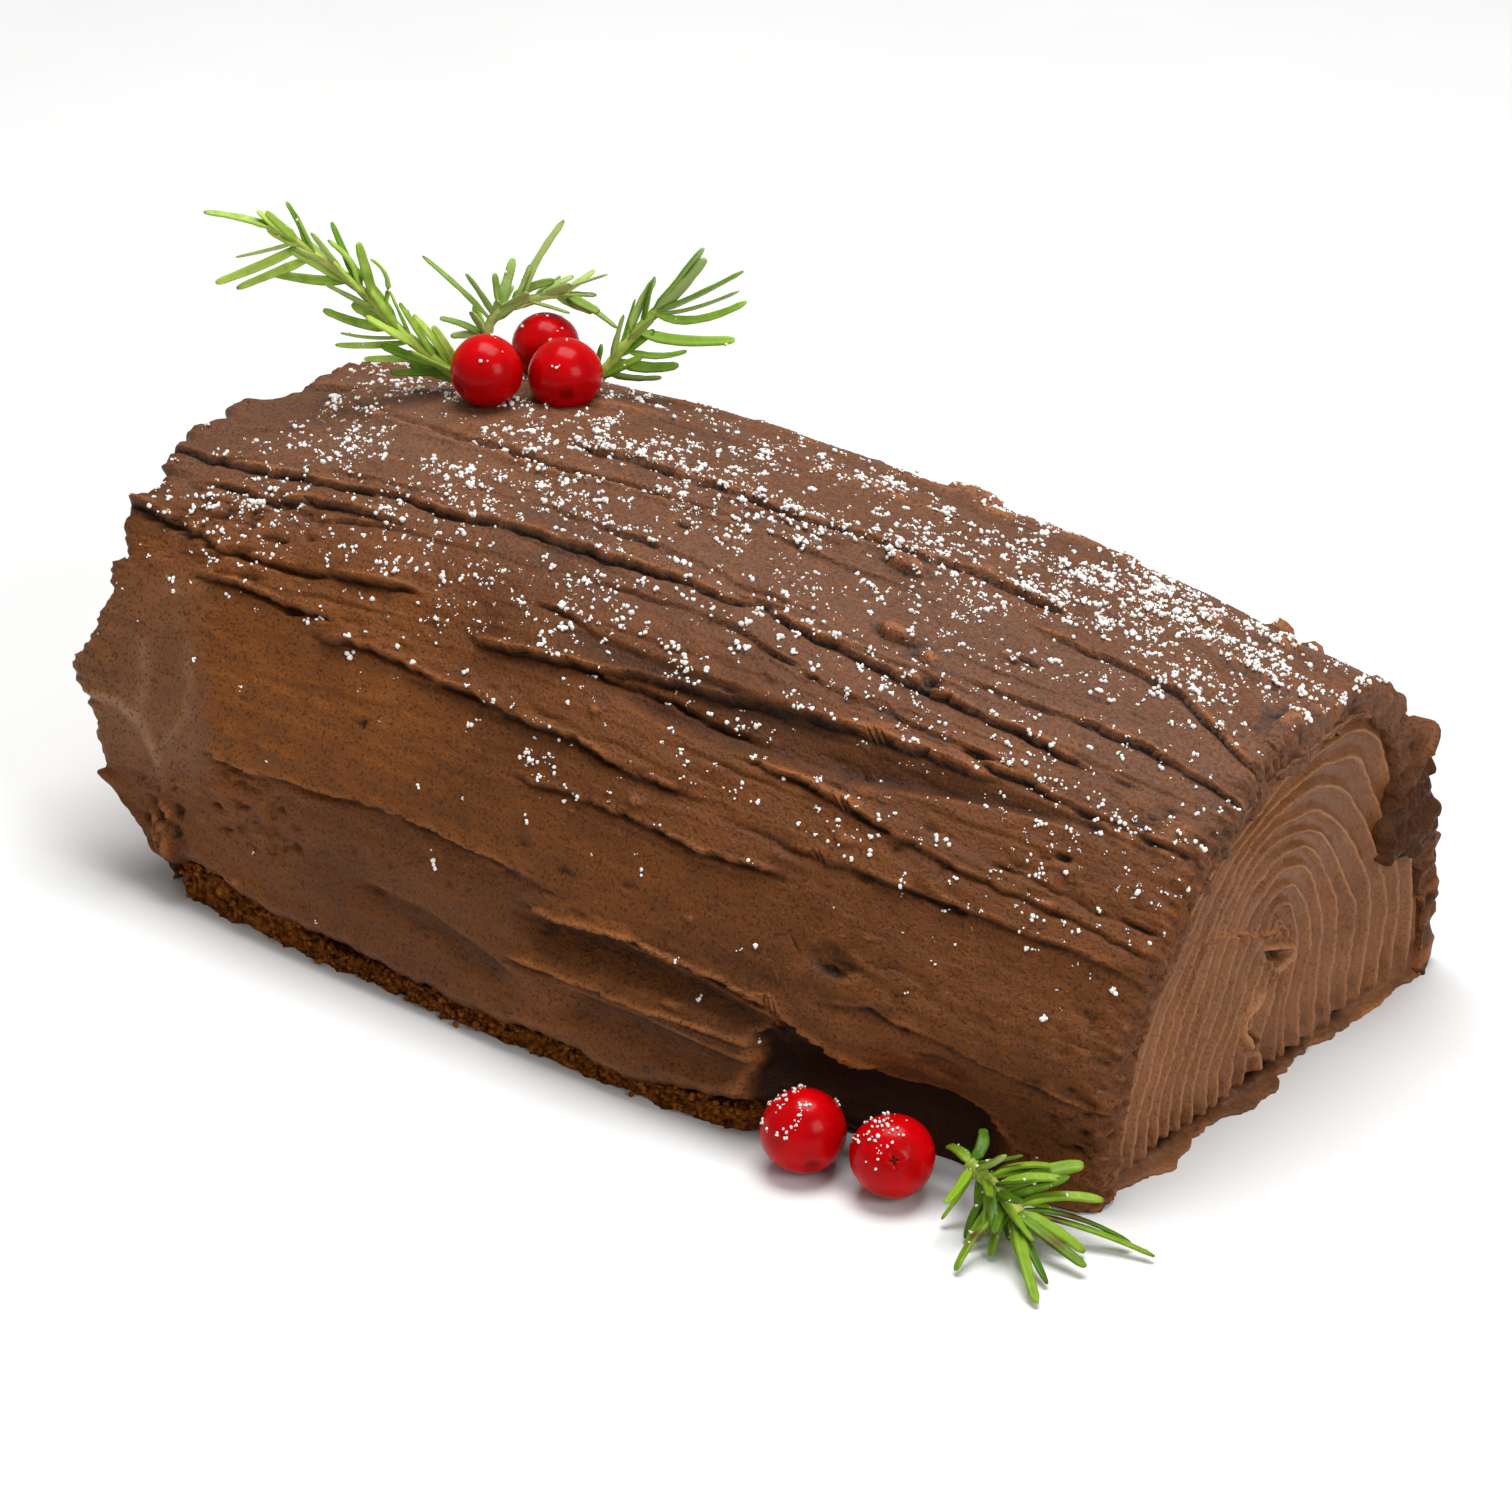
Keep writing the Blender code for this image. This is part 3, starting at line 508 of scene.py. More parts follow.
def make_bark(material):
    """The bark, and the grids of its points, relief detail and v round the section, for the sugar on it."""
    rng = np.random.default_rng(9)
    path = bark_path()
    x, inset, facing = path[:, :1], path[:, 1:2], path[:, 2:]
    low = v_at_height(x, True, frosting_edge(rng, x))
    high = v_at_height(x, False, frosting_edge(rng, x))
    front = np.linspace(0, 1, FRONT_ROWS, endpoint=False)[None]
    back = np.linspace(0, 1, BACK_ROWS)[None]
    v = np.hstack([low + front * (ROWS_SPLIT - low), ROWS_SPLIT + back * (high - ROWS_SPLIT)])
    x = np.broadcast_to(x, v.shape)
    radial = np.sqrt(1 - facing**2)
    run = np.cumsum(np.r_[0, np.hypot(np.diff(path[:, 0]), np.diff(path[:, 1]))])[:, None]
    on_near_face = (np.arange(len(path)) >= len(path) - FACE_ROWS - 2)[:, None]
    heap = bump(v, 190, 26) * (0.8 + 0.3 * noise(rng, run, v, 9.0, 7.0))
    over_comb = 9.0 * bump(v, 193, 17) * (1 + 0.25 * layered_noise(rng, 0.0, v, 1.0, 9.0))
    over_comb = over_comb + 1.6 * np.clip(layered_noise(rng, 0.0, v, 1.0, 6.0), 0, 1)
    depth = np.where(on_near_face, (inset - 1.7) / (FROSTING - 1.1) * over_comb, 0.0)
    run = run + depth
    points = log_point(x, v, inset + depth)
    out_y, out_z = outward(points[..., 0], v)

    relief = bark_relief(x, v)
    smeared = smear_share(x, v)
    arcs = smear_arcs(x, v + 0.6 * noise(rng, x, v, 9.0, 9.0))
    calm = 0.8 + 0.25 * noise(rng, x, v, 16.0, 12.0)
    relief = relief * (1 - smeared) + (calm + 0.45 * arcs) * smeared
    above_edge = np.minimum(v - low, high - v)
    relief = relief * smooth_step(above_edge, -0.6, 1.6) + 0.5 * bump(above_edge, 2.2, 1.3)
    relief = relief - 0.7 * (1 - smooth_step(above_edge, 0, 1.4))
    rim = 0.9 * layered_noise(rng, run, v, 5.0, 4.0) + 0.8 * layered_noise(rng, run, v, 1.8, 1.5, 2)
    to_far = smooth_step(-x, -FAR_END - 7, -FAR_END)
    to_near = smooth_step(x, NEAR_END - 4.5, NEAR_END)
    ragged_v = v + 0.7 * layered_noise(rng, run, v, 3.0, 2.4)
    stands_out = np.interp(ragged_v, *zip(*FAR_RIM)) + 0.65 * layered_noise(rng, run, v, 2.4, 1.8)
    crumbs = np.clip(1.1 * layered_noise(rng, run, v, 4.4, 3.8, 3), -0.8, 1.2)
    block = bump(v, 181, 4.6) * (1 + 0.8 * crumbs + 0.35 * layered_noise(rng, run, v, 2.0, 1.6))
    lifted = to_near * (0.8 * rim + 1.1 * np.clip(heap, 0, 1) * crumbs + 3.4 * block) + to_far * 0.35 * rim
    height = radial * (relief + lifted)
    near_heap = np.where(facing > 0, 2.2 * heap * (1 + 0.7 * crumbs) + 1.6 * block, 0.0)
    along = facing * (0.35 + np.where(facing > 0, 0.85, 0.3) * rim + near_heap)
    along = along - to_far * (stands_out - 0.4) * np.where(facing < 0, 1.0, smooth_step(-x, 105, 112))
    height = height + to_far * (0.12 * stands_out + 0.4 * np.clip(rim, 0, 1)) * radial
    inside = (np.abs(facing) < 0.01) & (inset > 3)
    height = np.where(inside, 0.0, height)
    along = np.where(inside, 0.0, along)
    points = points + np.stack([along, height * out_y, height * out_z], -1)
    points[..., 2] = np.maximum(points[..., 2], 0.0)

    # The relief's fine detail also drives the colour: painted shade in the crevices and painted light on the proud
    # lips, held back on the near end's heap.
    detail = (relief + lifted) - blurred(relief + lifted, 9)
    detail = detail * (1 - 0.8 * to_near * np.clip(1.4 * heap, 0, 1))
    facet = shaded_facet(x, v)
    # A thin film of icing sugar over the upper side, together with painted sheen that lightens the top; both are
    # weakened over the shaded facet, which paints shade there.
    dust_and_sheen = smooth_step(v, 62, 92) * (1 - smooth_step(v, 160, 190))
    dust_and_sheen = dust_and_sheen * (1 - 0.9 * facet)
    # Painted shade: the sloping facet, the hollow behind the foot berries, the near end's heap and the sunk facets are
    # darkened in the colour, where shade falls.
    dark = 0.5 * facet
    dark = np.maximum(dark, 0.88 * cavity_share(x, v))
    dark = np.maximum(dark, 0.62 * to_near * np.clip(1.3 * bump(v, 197, 18), 0, 1))
    for line, half_width, _, darkness in SUNK_FACETS:
        dark = np.maximum(dark, darkness * facet_share(x, v, line, half_width))
    warm = 0.40 * bump(x, -70, 42) * bump(v, 42, 24) * (1 - smeared) + 0.12 * bump(v, 20, 22) * smooth_step(-x, -44, 0)
    index = np.arange(v.size).reshape(v.shape)
    faces = grid_faces(index)
    inner_x = np.linspace(-104, 97, 61)[:, None]
    inner_low = v_at_height(inner_x, True, frosting_edge(rng, inner_x))
    inner_high = v_at_height(inner_x, False, frosting_edge(rng, inner_x))
    inner_v = inner_low + np.linspace(0, 1, 25)[None] * (inner_high - inner_low)
    inner = log_point(inner_x, inner_v, FROSTING + 0.2)
    inner_index = np.arange(inner_v.size).reshape(inner_v.shape) + v.size
    faces += grid_faces(inner_index)
    for fine, coarse in (
        (index[0], inner_index[0]),
        (index[-1], inner_index[-1]),
        (index[:, 0], inner_index[:, 0]),
        (index[:, -1], inner_index[:, -1]),
    ):
        faces += stitch(fine, coarse)
    everything = np.vstack([points.reshape(-1, 3), inner.reshape(-1, 3)])
    padding = np.zeros(inner_v.size)
    attributes = (
        # Relief detail, which paints shade into the crevices and light onto the lips.
        ("relief", np.r_[detail.ravel(), padding]),
        # The smear share, weighted to the arcs, carries painted sheen into the colour.
        ("smear", np.r_[(smeared * (0.30 + 0.70 * arcs)).ravel(), padding]),
        ("dust_and_sheen", np.r_[dust_and_sheen.ravel(), padding]),
        ("dark", np.r_[dark.ravel(), padding]),
        ("warm", np.r_[warm.ravel(), padding]),
    )
    bark = make_mesh("bark", everything, faces, material, attributes)
    face_outward(bark)
    return bark, points, detail, v


def face_outward(thing):
    bm = bmesh.new()
    bm.from_mesh(thing.data)
    bmesh.ops.recalc_face_normals(bm, faces=bm.faces)
    bm.to_mesh(thing.data)
    bm.free()


def distance_to_line(y, z, line):
    """How far each place is from the broken line through the stops, and on which side."""
    best = np.full(y.shape, 1e9)
    side = np.zeros(y.shape)
    for (y0, z0), (y1, z1) in zip(line, line[1:]):
        along_y, along_z = y1 - y0, z1 - z0
        length = along_y**2 + along_z**2
        share = np.clip(((y - y0) * along_y + (z - z0) * along_z) / length, 0, 1)
        away = np.hypot(y - y0 - share * along_y, z - z0 - share * along_z)
        closer = away < best
        best = np.where(closer, away, best)
        side = np.where(closer, np.sign((y - y0) * along_z - (z - z0) * along_y), side)
    return best, side


def comb_arches(end, v, share):
    """The point (y, z) on the combed face: the rim's outline at share 0, rounder arches further in,
    and close round the seam at share 1."""
    y, z = section(end, v, 4.0)
    half, top = np.abs(y).max(), z.max()
    turn = v / AROUND * math.pi
    widest = np.where(turn < math.pi / 2, -y.min(), y.max())
    rounder = 0.9 * smooth_step(share, 0.0, 0.45)
    y = y + rounder * (-np.cos(turn) * widest - y)
    z = z + rounder * (np.clip(np.sin(turn), 0, 1) ** 0.92 * top - z)
    z = z * (1 - share * (1 - SEAM_TOP / top))
    centre = -3.0 + 6.5 * smooth_step(z, 10, 28)
    return y * (1 - share * (1 - 1.2 / half)) + centre * share, z


def make_comb(name, at_far_end, material):
    """Frosting combed into nested arches round an upright seam, on one end of the log."""
    rng = np.random.default_rng(21 if at_far_end else 4)
    end = FAR_END if at_far_end else NEAR_END
    out = -1.0 if at_far_end else 1.0
    share = np.linspace(0, 1, 15 * FLUTES + 1)[:, None]
    even = np.linspace(0, 1, 380)[None]
    columns = AROUND * (even - 0.105 * np.sin(2 * math.pi * even))
    y, z = comb_arches(end, columns, share)
    share = np.broadcast_to(share, y.shape)
    arc = np.broadcast_to(columns, y.shape)
    wobble = 0.014 * layered_noise(rng, share, arc, 0.12, 26.0)
    tear = 39 - (y + 19) * 0.36 + wander(rng, y, 5.0, 0.8)
    torn = smooth_step(tear - z, 0.0, 0.5) * (1 - smooth_step(y, 5, 9)) * smooth_step(y, -34, -20)
    count = (share + wobble) * FLUTES + 0.45 * torn * (not at_far_end)
    cusp = 1 - np.abs(np.sin(math.pi * count))
    depth = FLUTE_DEPTH * (0.8 + 0.35 * noise(rng, share, arc, 0.1, 20.0))
    relief = depth * (cusp**1.3 - 0.3) + 0.6 * layered_noise(rng, y, z, 22.0, 22.0)
    relief += 0.12 * noise(rng, share, arc, 0.02, 3.0) + 0.12 * noise(rng, y, z, 1.2, 1.2)
    broken = np.clip(0.6 + 0.6 * noise(rng, y, z, 3.5, 2.0) + 0.3 * noise(rng, y, z, 1.2, 1.0), 0, 1.3)
    notch = bump(z, 5.5 + 1.5 * noise(rng, y, 0.0, 7.0, 1.0), 1.8) * (1 - cusp) ** 2
    relief -= 1.1 * notch
    away = np.minimum(distance_to_line(y, z, SEAM)[0], 0.2 + distance_to_line(y, z, SEAM_HOOK)[0])
    away = away + 0.3 * noise(rng, y, z, 3.5, 3.0)
    beside = 1 - smooth_step(away, 0.9, 2.4)
    relief = relief * (1 - 0.85 * beside)
    if not at_far_end:
        on_tear = bump(tear - z, 0.0, 0.42) * smooth_step(y, -24, -17) * (1 - smooth_step(y, 4, 8))
        relief += 1.0 * on_tear * broken
    seam = 1 - smooth_step(away, 0.35 * SEAM_HALF_WIDTH, 1.5 * SEAM_HALF_WIDTH)
    gutter = np.zeros(y.shape)
    for line in SEAM_SLOTS:
        gutter = np.maximum(gutter, 1 - smooth_step(distance_to_line(y, z, line)[0], 0.3, 1.1))
    swollen = 0.9 + 0.3 * noise(rng, z, 0.0, 6.0, 1.0)
    relief += SEAM_HEIGHT * seam * swollen * (1 - gutter) - 1.8 * gutter
    foot_line = wander(rng, y, 16.0, 1.2) + wander(rng, y, 2.5, 0.35)
    foot = 1 - smooth_step(z, 1.5, 3.1 + 0.7 * noise(rng, y, 0.0, 5.0, 1.0))
    flap = 1 - smooth_step(z, 0.5, 1.4 + 0.4 * noise(rng, y, 0.0, 6.0, 1.0))
    open_foot = smooth_step(y, -46, -28) * (1 - smooth_step(y, 30, 44))
    gaps = np.clip(0.75 + 0.8 * layered_noise(rng, y, 0.0, 7.0, 1.0, 2), 0.15, 1.2)
    under = bump(z, 2.4 + 0.4 * foot_line, 0.85) * gaps * open_foot
    relief = relief * (1 - 0.85 * foot) + foot * (-0.3 + 0.4 * foot_line) - 2.4 * under
    reach = 0.35 if at_far_end else 1.0 - 0.45 * smooth_step(y, 18, 36)
    relief += reach * flap * (1.8 + 1.1 * foot_line)
    x = tucked(end, z) + out * (relief - 0.8)
    points = np.stack([x, y, np.maximum(z, 0.0)], -1)
    index = np.arange(y.size).reshape(y.shape)
    faces = grid_faces(index)
    back_x = -96.0 if at_far_end else 98.0
    back_y, back_z = section(end, columns, 4.0)
    back = np.stack([np.full(columns.size, back_x), back_y.ravel() * 0.98, back_z.ravel() * 0.98], -1)
    back_index = np.arange(columns.size) + y.size
    faces += grid_faces(np.vstack([back_index, index[0]]))
    faces.append(back_index.tolist())
    faces.append(index[-1].tolist())
    faces.append(index[:, 0].tolist() + index[::-1, -1].tolist() + [int(back_index[-1]), int(back_index[0])])
    # Painted light and shade on the flutes: crests and the seam's ridge lighter, valleys, notches, seam slots and the
    # band above the foot darker; the lowest 2 mm is darker too.
    crest = np.where(seam > 0.3, 0.8, 1.25 * cusp**0.8 - 0.45) - 1.2 * notch - 1.4 * gutter
    rim = (1 - smooth_step(z, 0.5, 1.1)) * np.clip(1.6 * noise(rng, y, 0.0, 7.0, 1.0) + 0.3, 0, 1) * broken
    crest = crest - 0.5 * bump(z, 3.2, 1.2)
    # Painted shade under the comb's foot and in the seam slots; the flap is darkened a little as well.
    dark = np.clip(np.maximum(1.5 * under, gutter), 0, 1)
    dark = np.maximum(dark, 0.35 * flap * np.clip(0.6 + noise(rng, y, 0.0, 5.0, 1.0), 0, 1))
    crest = np.where(z < 2.0, np.minimum(crest, -0.1 + 0.2 * broken), crest)
    # Painted light: the seam's ridge, the flap's rim and the tear glow orange, as light does through thin frosting.
    orange = np.clip(1.3 * seam * broken + rim + (0 if at_far_end else 1.3 * on_tear * broken), 0, 1)
    crest = np.maximum(crest, orange)
    padding = np.zeros(columns.size)
    attributes = (
        ("relief", np.r_[crest.ravel(), padding]),
        ("edge", np.r_[orange.ravel(), padding]),
        ("dark", np.r_[dark.ravel(), padding]),
    )
    comb = make_mesh(name, np.vstack([points.reshape(-1, 3), back]), faces, material, attributes)
    face_outward(comb)
    return comb


def ledge_height(x):
    """The sponge shows highest at the far corner, and further on lies low under the frosting's lip."""
    return LEDGE_HEIGHT + 2.4 * bump(x, -84, 16) - 1.4 * smooth_step(x, -64, -50)


def make_sponge(material):
    """The sponge under the frosting: it shows as a crumbly ledge along both feet."""
    rng = np.random.default_rng(31)
    x = np.linspace(FAR_END + 18.5, NEAR_END - 9, 210)[:, None]
    inset = FROSTING + 0.3
    edges = {}
    for front in (True, False):
        sign = -1 if front else 1
        top = ledge_height(x)
        v_in = v_at_height(x, front, top)
        inner_y = section(x, v_in, inset)[0]
        outer_y = section(x, np.where(front, 0.0, AROUND) + 0 * x, LEDGE_INSET)[0]
        ledge = 1 - smooth_step(x, 43, 47)
        outer_y = outer_y * ledge + inner_y * (1 - ledge) + sign * 0.1
        rows = []
        for share in np.linspace(0, 1, 6):
            crumble = wander(rng, x, 5.0, 0.6) + wander(rng, x, 1.7, 0.7)
            rows.append((outer_y + ledge * (crumble - sign * 0.8 * share), share * top))
        for share in np.linspace(0, 1, 5)[1:]:
            drop = ledge * np.abs(wander(rng, x, 2.2, 0.6)) * (share < 1)
            rows.append((outer_y + share * (inner_y - outer_y), top - drop))
        edges[front] = (rows, v_in)
    between = np.linspace(0, 1, 26)[None, 1:-1]
    v = edges[True][1] + between * (edges[False][1] - edges[True][1])
    arch_y, arch_z = section(x, v, inset)
    front_y, front_z = (np.hstack([row[k] for row in edges[True][0]]) for k in (0, 1))
    back_y, back_z = (np.hstack([row[k] for row in edges[False][0][::-1]]) for k in (0, 1))
    y = np.hstack([front_y, arch_y, back_y])
    z = np.hstack([front_z, arch_z, back_z])
    points = np.stack([np.broadcast_to(x, y.shape), y, np.maximum(z, 0)], -1)
    points[..., 0] = np.minimum(tucked(points[..., 0], z), NEAR_END - 9)
    index = np.arange(y.size).reshape(y.shape)
    faces = grid_faces(index)
    faces += grid_faces(index[:, [-1, 0]])
    faces += [index[0].tolist(), index[-1].tolist()]
    sponge = make_mesh("sponge", points.reshape(-1, 3), faces, material)
    face_outward(sponge)
    return sponge, points[:, :10], points[:, -10:]


def icosahedron():
    golden = (1 + 5**0.5) / 2
    corners = []
    for a in (-1, 1):
        for b in (-golden, golden):
            corners += [(0, a, b), (a, b, 0), (b, 0, a)]
    corners = np.array(corners, float)
    corners /= np.linalg.norm(corners[0])
    gaps = np.linalg.norm(corners[:, None] - corners[None], axis=-1)
    near = (gaps > 0.1) & (gaps < 1.2)
    faces = []
    for i in range(12):
        for j in range(i + 1, 12):
            for k in range(j + 1, 12):
                if near[i, j] and near[j, k] and near[i, k]:
                    outward_way = np.dot(np.cross(corners[j] - corners[i], corners[k] - corners[i]), corners[i])
                    faces.append((i, j, k) if outward_way > 0 else (i, k, j))
    return corners, np.array(faces)


def octahedron():
    corners = np.vstack([np.eye(3), -np.eye(3)])
    faces = [(0, 1, 2), (1, 3, 2), (3, 4, 2), (4, 0, 2), (1, 0, 5), (3, 1, 5), (4, 3, 5), (0, 4, 5)]
    return corners, np.array(faces)


def grain_shapes(solid, places, radii, rng):
    """Points and faces of rough grains, each a copy of the solid, squeezed and turned."""
    corners, faces = solid
    count, size = len(places), len(corners)
    shapes = corners[None] * rng.uniform(0.65, 1.3, (count, size, 1)) * radii[:, None, None]
    shapes *= rng.uniform(0.75, 1.2, (count, 1, 3))
    angle = rng.uniform(0, 2 * math.pi, count)
    cos, sin = np.cos(angle)[:, None], np.sin(angle)[:, None]
    turned = np.stack([
        shapes[..., 0] * cos - shapes[..., 1] * sin,
        shapes[..., 0] * sin + shapes[..., 1] * cos,
        shapes[..., 2],
    ], -1)
    points = (turned + places[:, None]).reshape(-1, 3)
    points[:, 2] = np.maximum(points[:, 2], 0.0)
    return points, (faces[None] + size * np.arange(count)[:, None, None]).reshape(-1, 3)


def scatter_grains(name, places, radii, material, rng, least_round):
    """Many small rough grains as one mesh. Those under the radius least_round have fewer faces."""
    fine = radii < least_round
    points, faces = grain_shapes(octahedron(), places[fine], radii[fine], rng)
    more, more_faces = grain_shapes(icosahedron(), places[~fine], radii[~fine], rng)
    faces = np.vstack([faces, more_faces + len(points)])
    return make_mesh(name, np.vstack([points, more]), faces.tolist(), material)


def sugar_density(x, v):
    """How thickly the icing sugar lies: most near the berries and the near end's back shoulder."""
    crown = 1.5 * bump(v, 108, 24) * bump(x, -60, 52) + 0.75 * bump(v, 108, 24) * bump(x, 10, 55)
    shoulder = 2.5 * bump(x, 72, 34) * bump(v, 136, 15)
    near = 0.5 * bump(x, 60, 50) * bump(v, 116, 16)
    beyond = 0.45 * bump(v, 145, 20)
    front = 0.62 * bump(v, 76, 15) + 0.22 * bump(v, 56, 14) * smooth_step(x, -60, 20) + 0.05 * bump(v, 40, 20)
    patches = 1.9 * bump(x, 60, 9) * bump(v, 56, 4.0) + 0.9 * bump(x, -8, 6) * bump(v, 45, 2.5)
    return crown + shoulder + near + beyond + front + patches


def make_sugar(material, bark_points, detail, v, spots):
    rng = np.random.default_rng(17)
    skin = slice(10, -(FACE_ROWS + 5))
    points, detail, v = bark_points[skin], detail[skin], v[skin]
    du = np.gradient(points, axis=0)
    dv = np.gradient(points, axis=1)
    normal = np.cross(du, dv)
    area = np.linalg.norm(normal, axis=-1)
    normal = normal / (area[..., None] + 1e-9)
    weight = sugar_density(points[..., 0], v) * area
    weight = weight * np.clip(normal[..., 2] + 0.25, 0.02, 1)
    clumped = np.clip(0.6 + 1.0 * layered_noise(rng, points[..., 0], v, 9.0, 6.0, 4), 0.05, 2.2)
    weight = weight * clumped * np.clip(0.7 + 2.2 * detail, 0.15, 2.6)
    chosen = rng.choice(weight.size, SUGAR_CLUMPS, p=(weight / weight.sum()).ravel())
    centres = points.reshape(-1, 3)[chosen]
    normals = normal.reshape(-1, 3)[chosen]
    places, radii = [], []
    for centre, up in zip(centres, normals):
        size = float(np.clip(rng.lognormal(-1.22, 0.42), 0.13, 0.6))
        for grain in range(rng.integers(1, 5)):
            radius = size * rng.uniform(0.5, 1.0)
            offset = rng.normal(0, 0.95 * size, 3) if grain else rng.normal(0, 0.25, 3)
            offset -= up * np.dot(offset, up)
            places.append(centre + offset + up * radius * 0.35)
            radii.append(radius)
    for centre, up in spots:
        radius = rng.uniform(0.14, 0.36)
        places.append(centre + up * radius * 0.3)
        radii.append(radius)
    return scatter_grains("icing_sugar", np.array(places), np.array(radii), material, rng, 0.26)


def make_crumbs(material, ledges):
    """Crumbs that cling to the sponge where the frosting stops short of the board."""
    rng = np.random.default_rng(12)
    places, radii = [], []
    for ledge in ledges:
        shown = ledge[ledge[:, 0, 0] < 45]
        for _ in range(650):
            i, j = rng.integers(len(shown)), rng.integers(1, 7)
            radius = rng.uniform(0.3, 0.9)
            places.append(shown[i, j] + rng.normal(0, 0.4, 3))
            radii.append(radius)
    places = np.array(places)
    places[:, 2] = np.maximum(places[:, 2], 0.3)
    return scatter_grains("sponge_crumbs", places, np.array(radii), material, rng, 0.4)


def unit(vector):
    vector = np.asarray(vector, float)
    return vector / (np.linalg.norm(vector, axis=-1, keepdims=True) + 1e-12)


def make_berry(name, node, blossom_way, material, seed):
    """A cranberry: round, a little uneven, with a dimple at the stem and a small four-lobed scar."""
    rng = np.random.default_rng(seed)
    low, high = (np.array(corner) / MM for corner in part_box(node))
    centre, radius = (low + high) / 2, (high - low).mean() / 2
    axis = unit(blossom_way)
    side = unit(np.cross(axis, (0.3, 0.2, 1.0)))
    other = np.cross(axis, side)
    polar = np.linspace(0, math.pi, 44)[:, None]
    around = np.linspace(0, 2 * math.pi, 60, endpoint=False)[None]
    lobes = 0.5 + 0.5 * np.cos(4 * around + seed)
    scar = 0.8 * (1 - smooth_step(polar, 0.02 + 0.05 * lobes**2, 0.09 + 0.09 * lobes**2))
    rim = bump(polar, 0.27 + 0.04 * lobes, 0.07)
    stem = 1 - smooth_step(math.pi - polar, 0.06, 0.3)
    uneven = sum(
        0.012 * math.cos(k * 2.1) * np.cos(k * around + rng.uniform(0, 6)) * np.sin(polar) ** k
        for k in (1, 2, 3)
    )
    length = radius * (1 + uneven - 0.10 * scar + 0.018 * rim - 0.09 * stem)
    direction = (
        np.cos(polar)[..., None] * axis * 0.97
        + (np.sin(polar) * np.cos(around))[..., None] * side
        + (np.sin(polar) * np.sin(around))[..., None] * other
    )
    points = centre + length[..., None] * direction
    points[..., 2] = np.maximum(points[..., 2], 0.05)
    rows = points[1:-1].reshape(-1, 3)
    count = around.size
    index = np.arange(len(rows)).reshape(-1, count)
    faces = grid_faces(np.hstack([index, index[:, :1]]))
    first, last = len(rows), len(rows) + 1
    for k in range(count):
        after = (k + 1) % count
        faces.append([first, int(index[0, after]), int(index[0, k])])
        faces.append([last, int(index[-1, k]), int(index[-1, after])])
    everything = np.vstack([rows, points[0, :1], points[-1, :1]])
    dark = np.broadcast_to(np.maximum(scar, 0.5 * stem), length.shape)
    values = np.r_[dark[1:-1].ravel(), dark[0, 0], dark[-1, 0]]
    berry = make_mesh(name, everything, faces, material, (("blossom", values),))
    face_outward(berry)
    return berry, centre, radius


def berry_spots(rng, centre, radius, count, lean):
    """Places on a berry for grains of sugar, mostly on its top."""
    spots = []
    while len(spots) < count:
        way = unit(rng.normal(0, 1, 3) + np.array(lean) * 1.6)
        if way[2] > 0.25:
            for _ in range(rng.integers(1, 5)):
                near = unit(way + rng.normal(0, 0.07, 3))
                spots.append((centre + near * radius, near))
    return spots


def smooth_route(stops, count):
    """Points along a smooth curve through the stops."""
    stops = np.array(stops, float)
    ends = np.vstack([2 * stops[0] - stops[1], stops, 2 * stops[-1] - stops[-2]])
    route = []
    for at in np.linspace(0, len(stops) - 1.0001, count):
        k, t = int(at), at - int(at)
        a, b, c, d = ends[k : k + 4]
        route.append(0.5 * (2 * b + (c - a) * t + (2 * a - 5 * b + 4 * c - d) * t**2 + (3 * b - a - 3 * c + d) * t**3))
    return np.array(route)


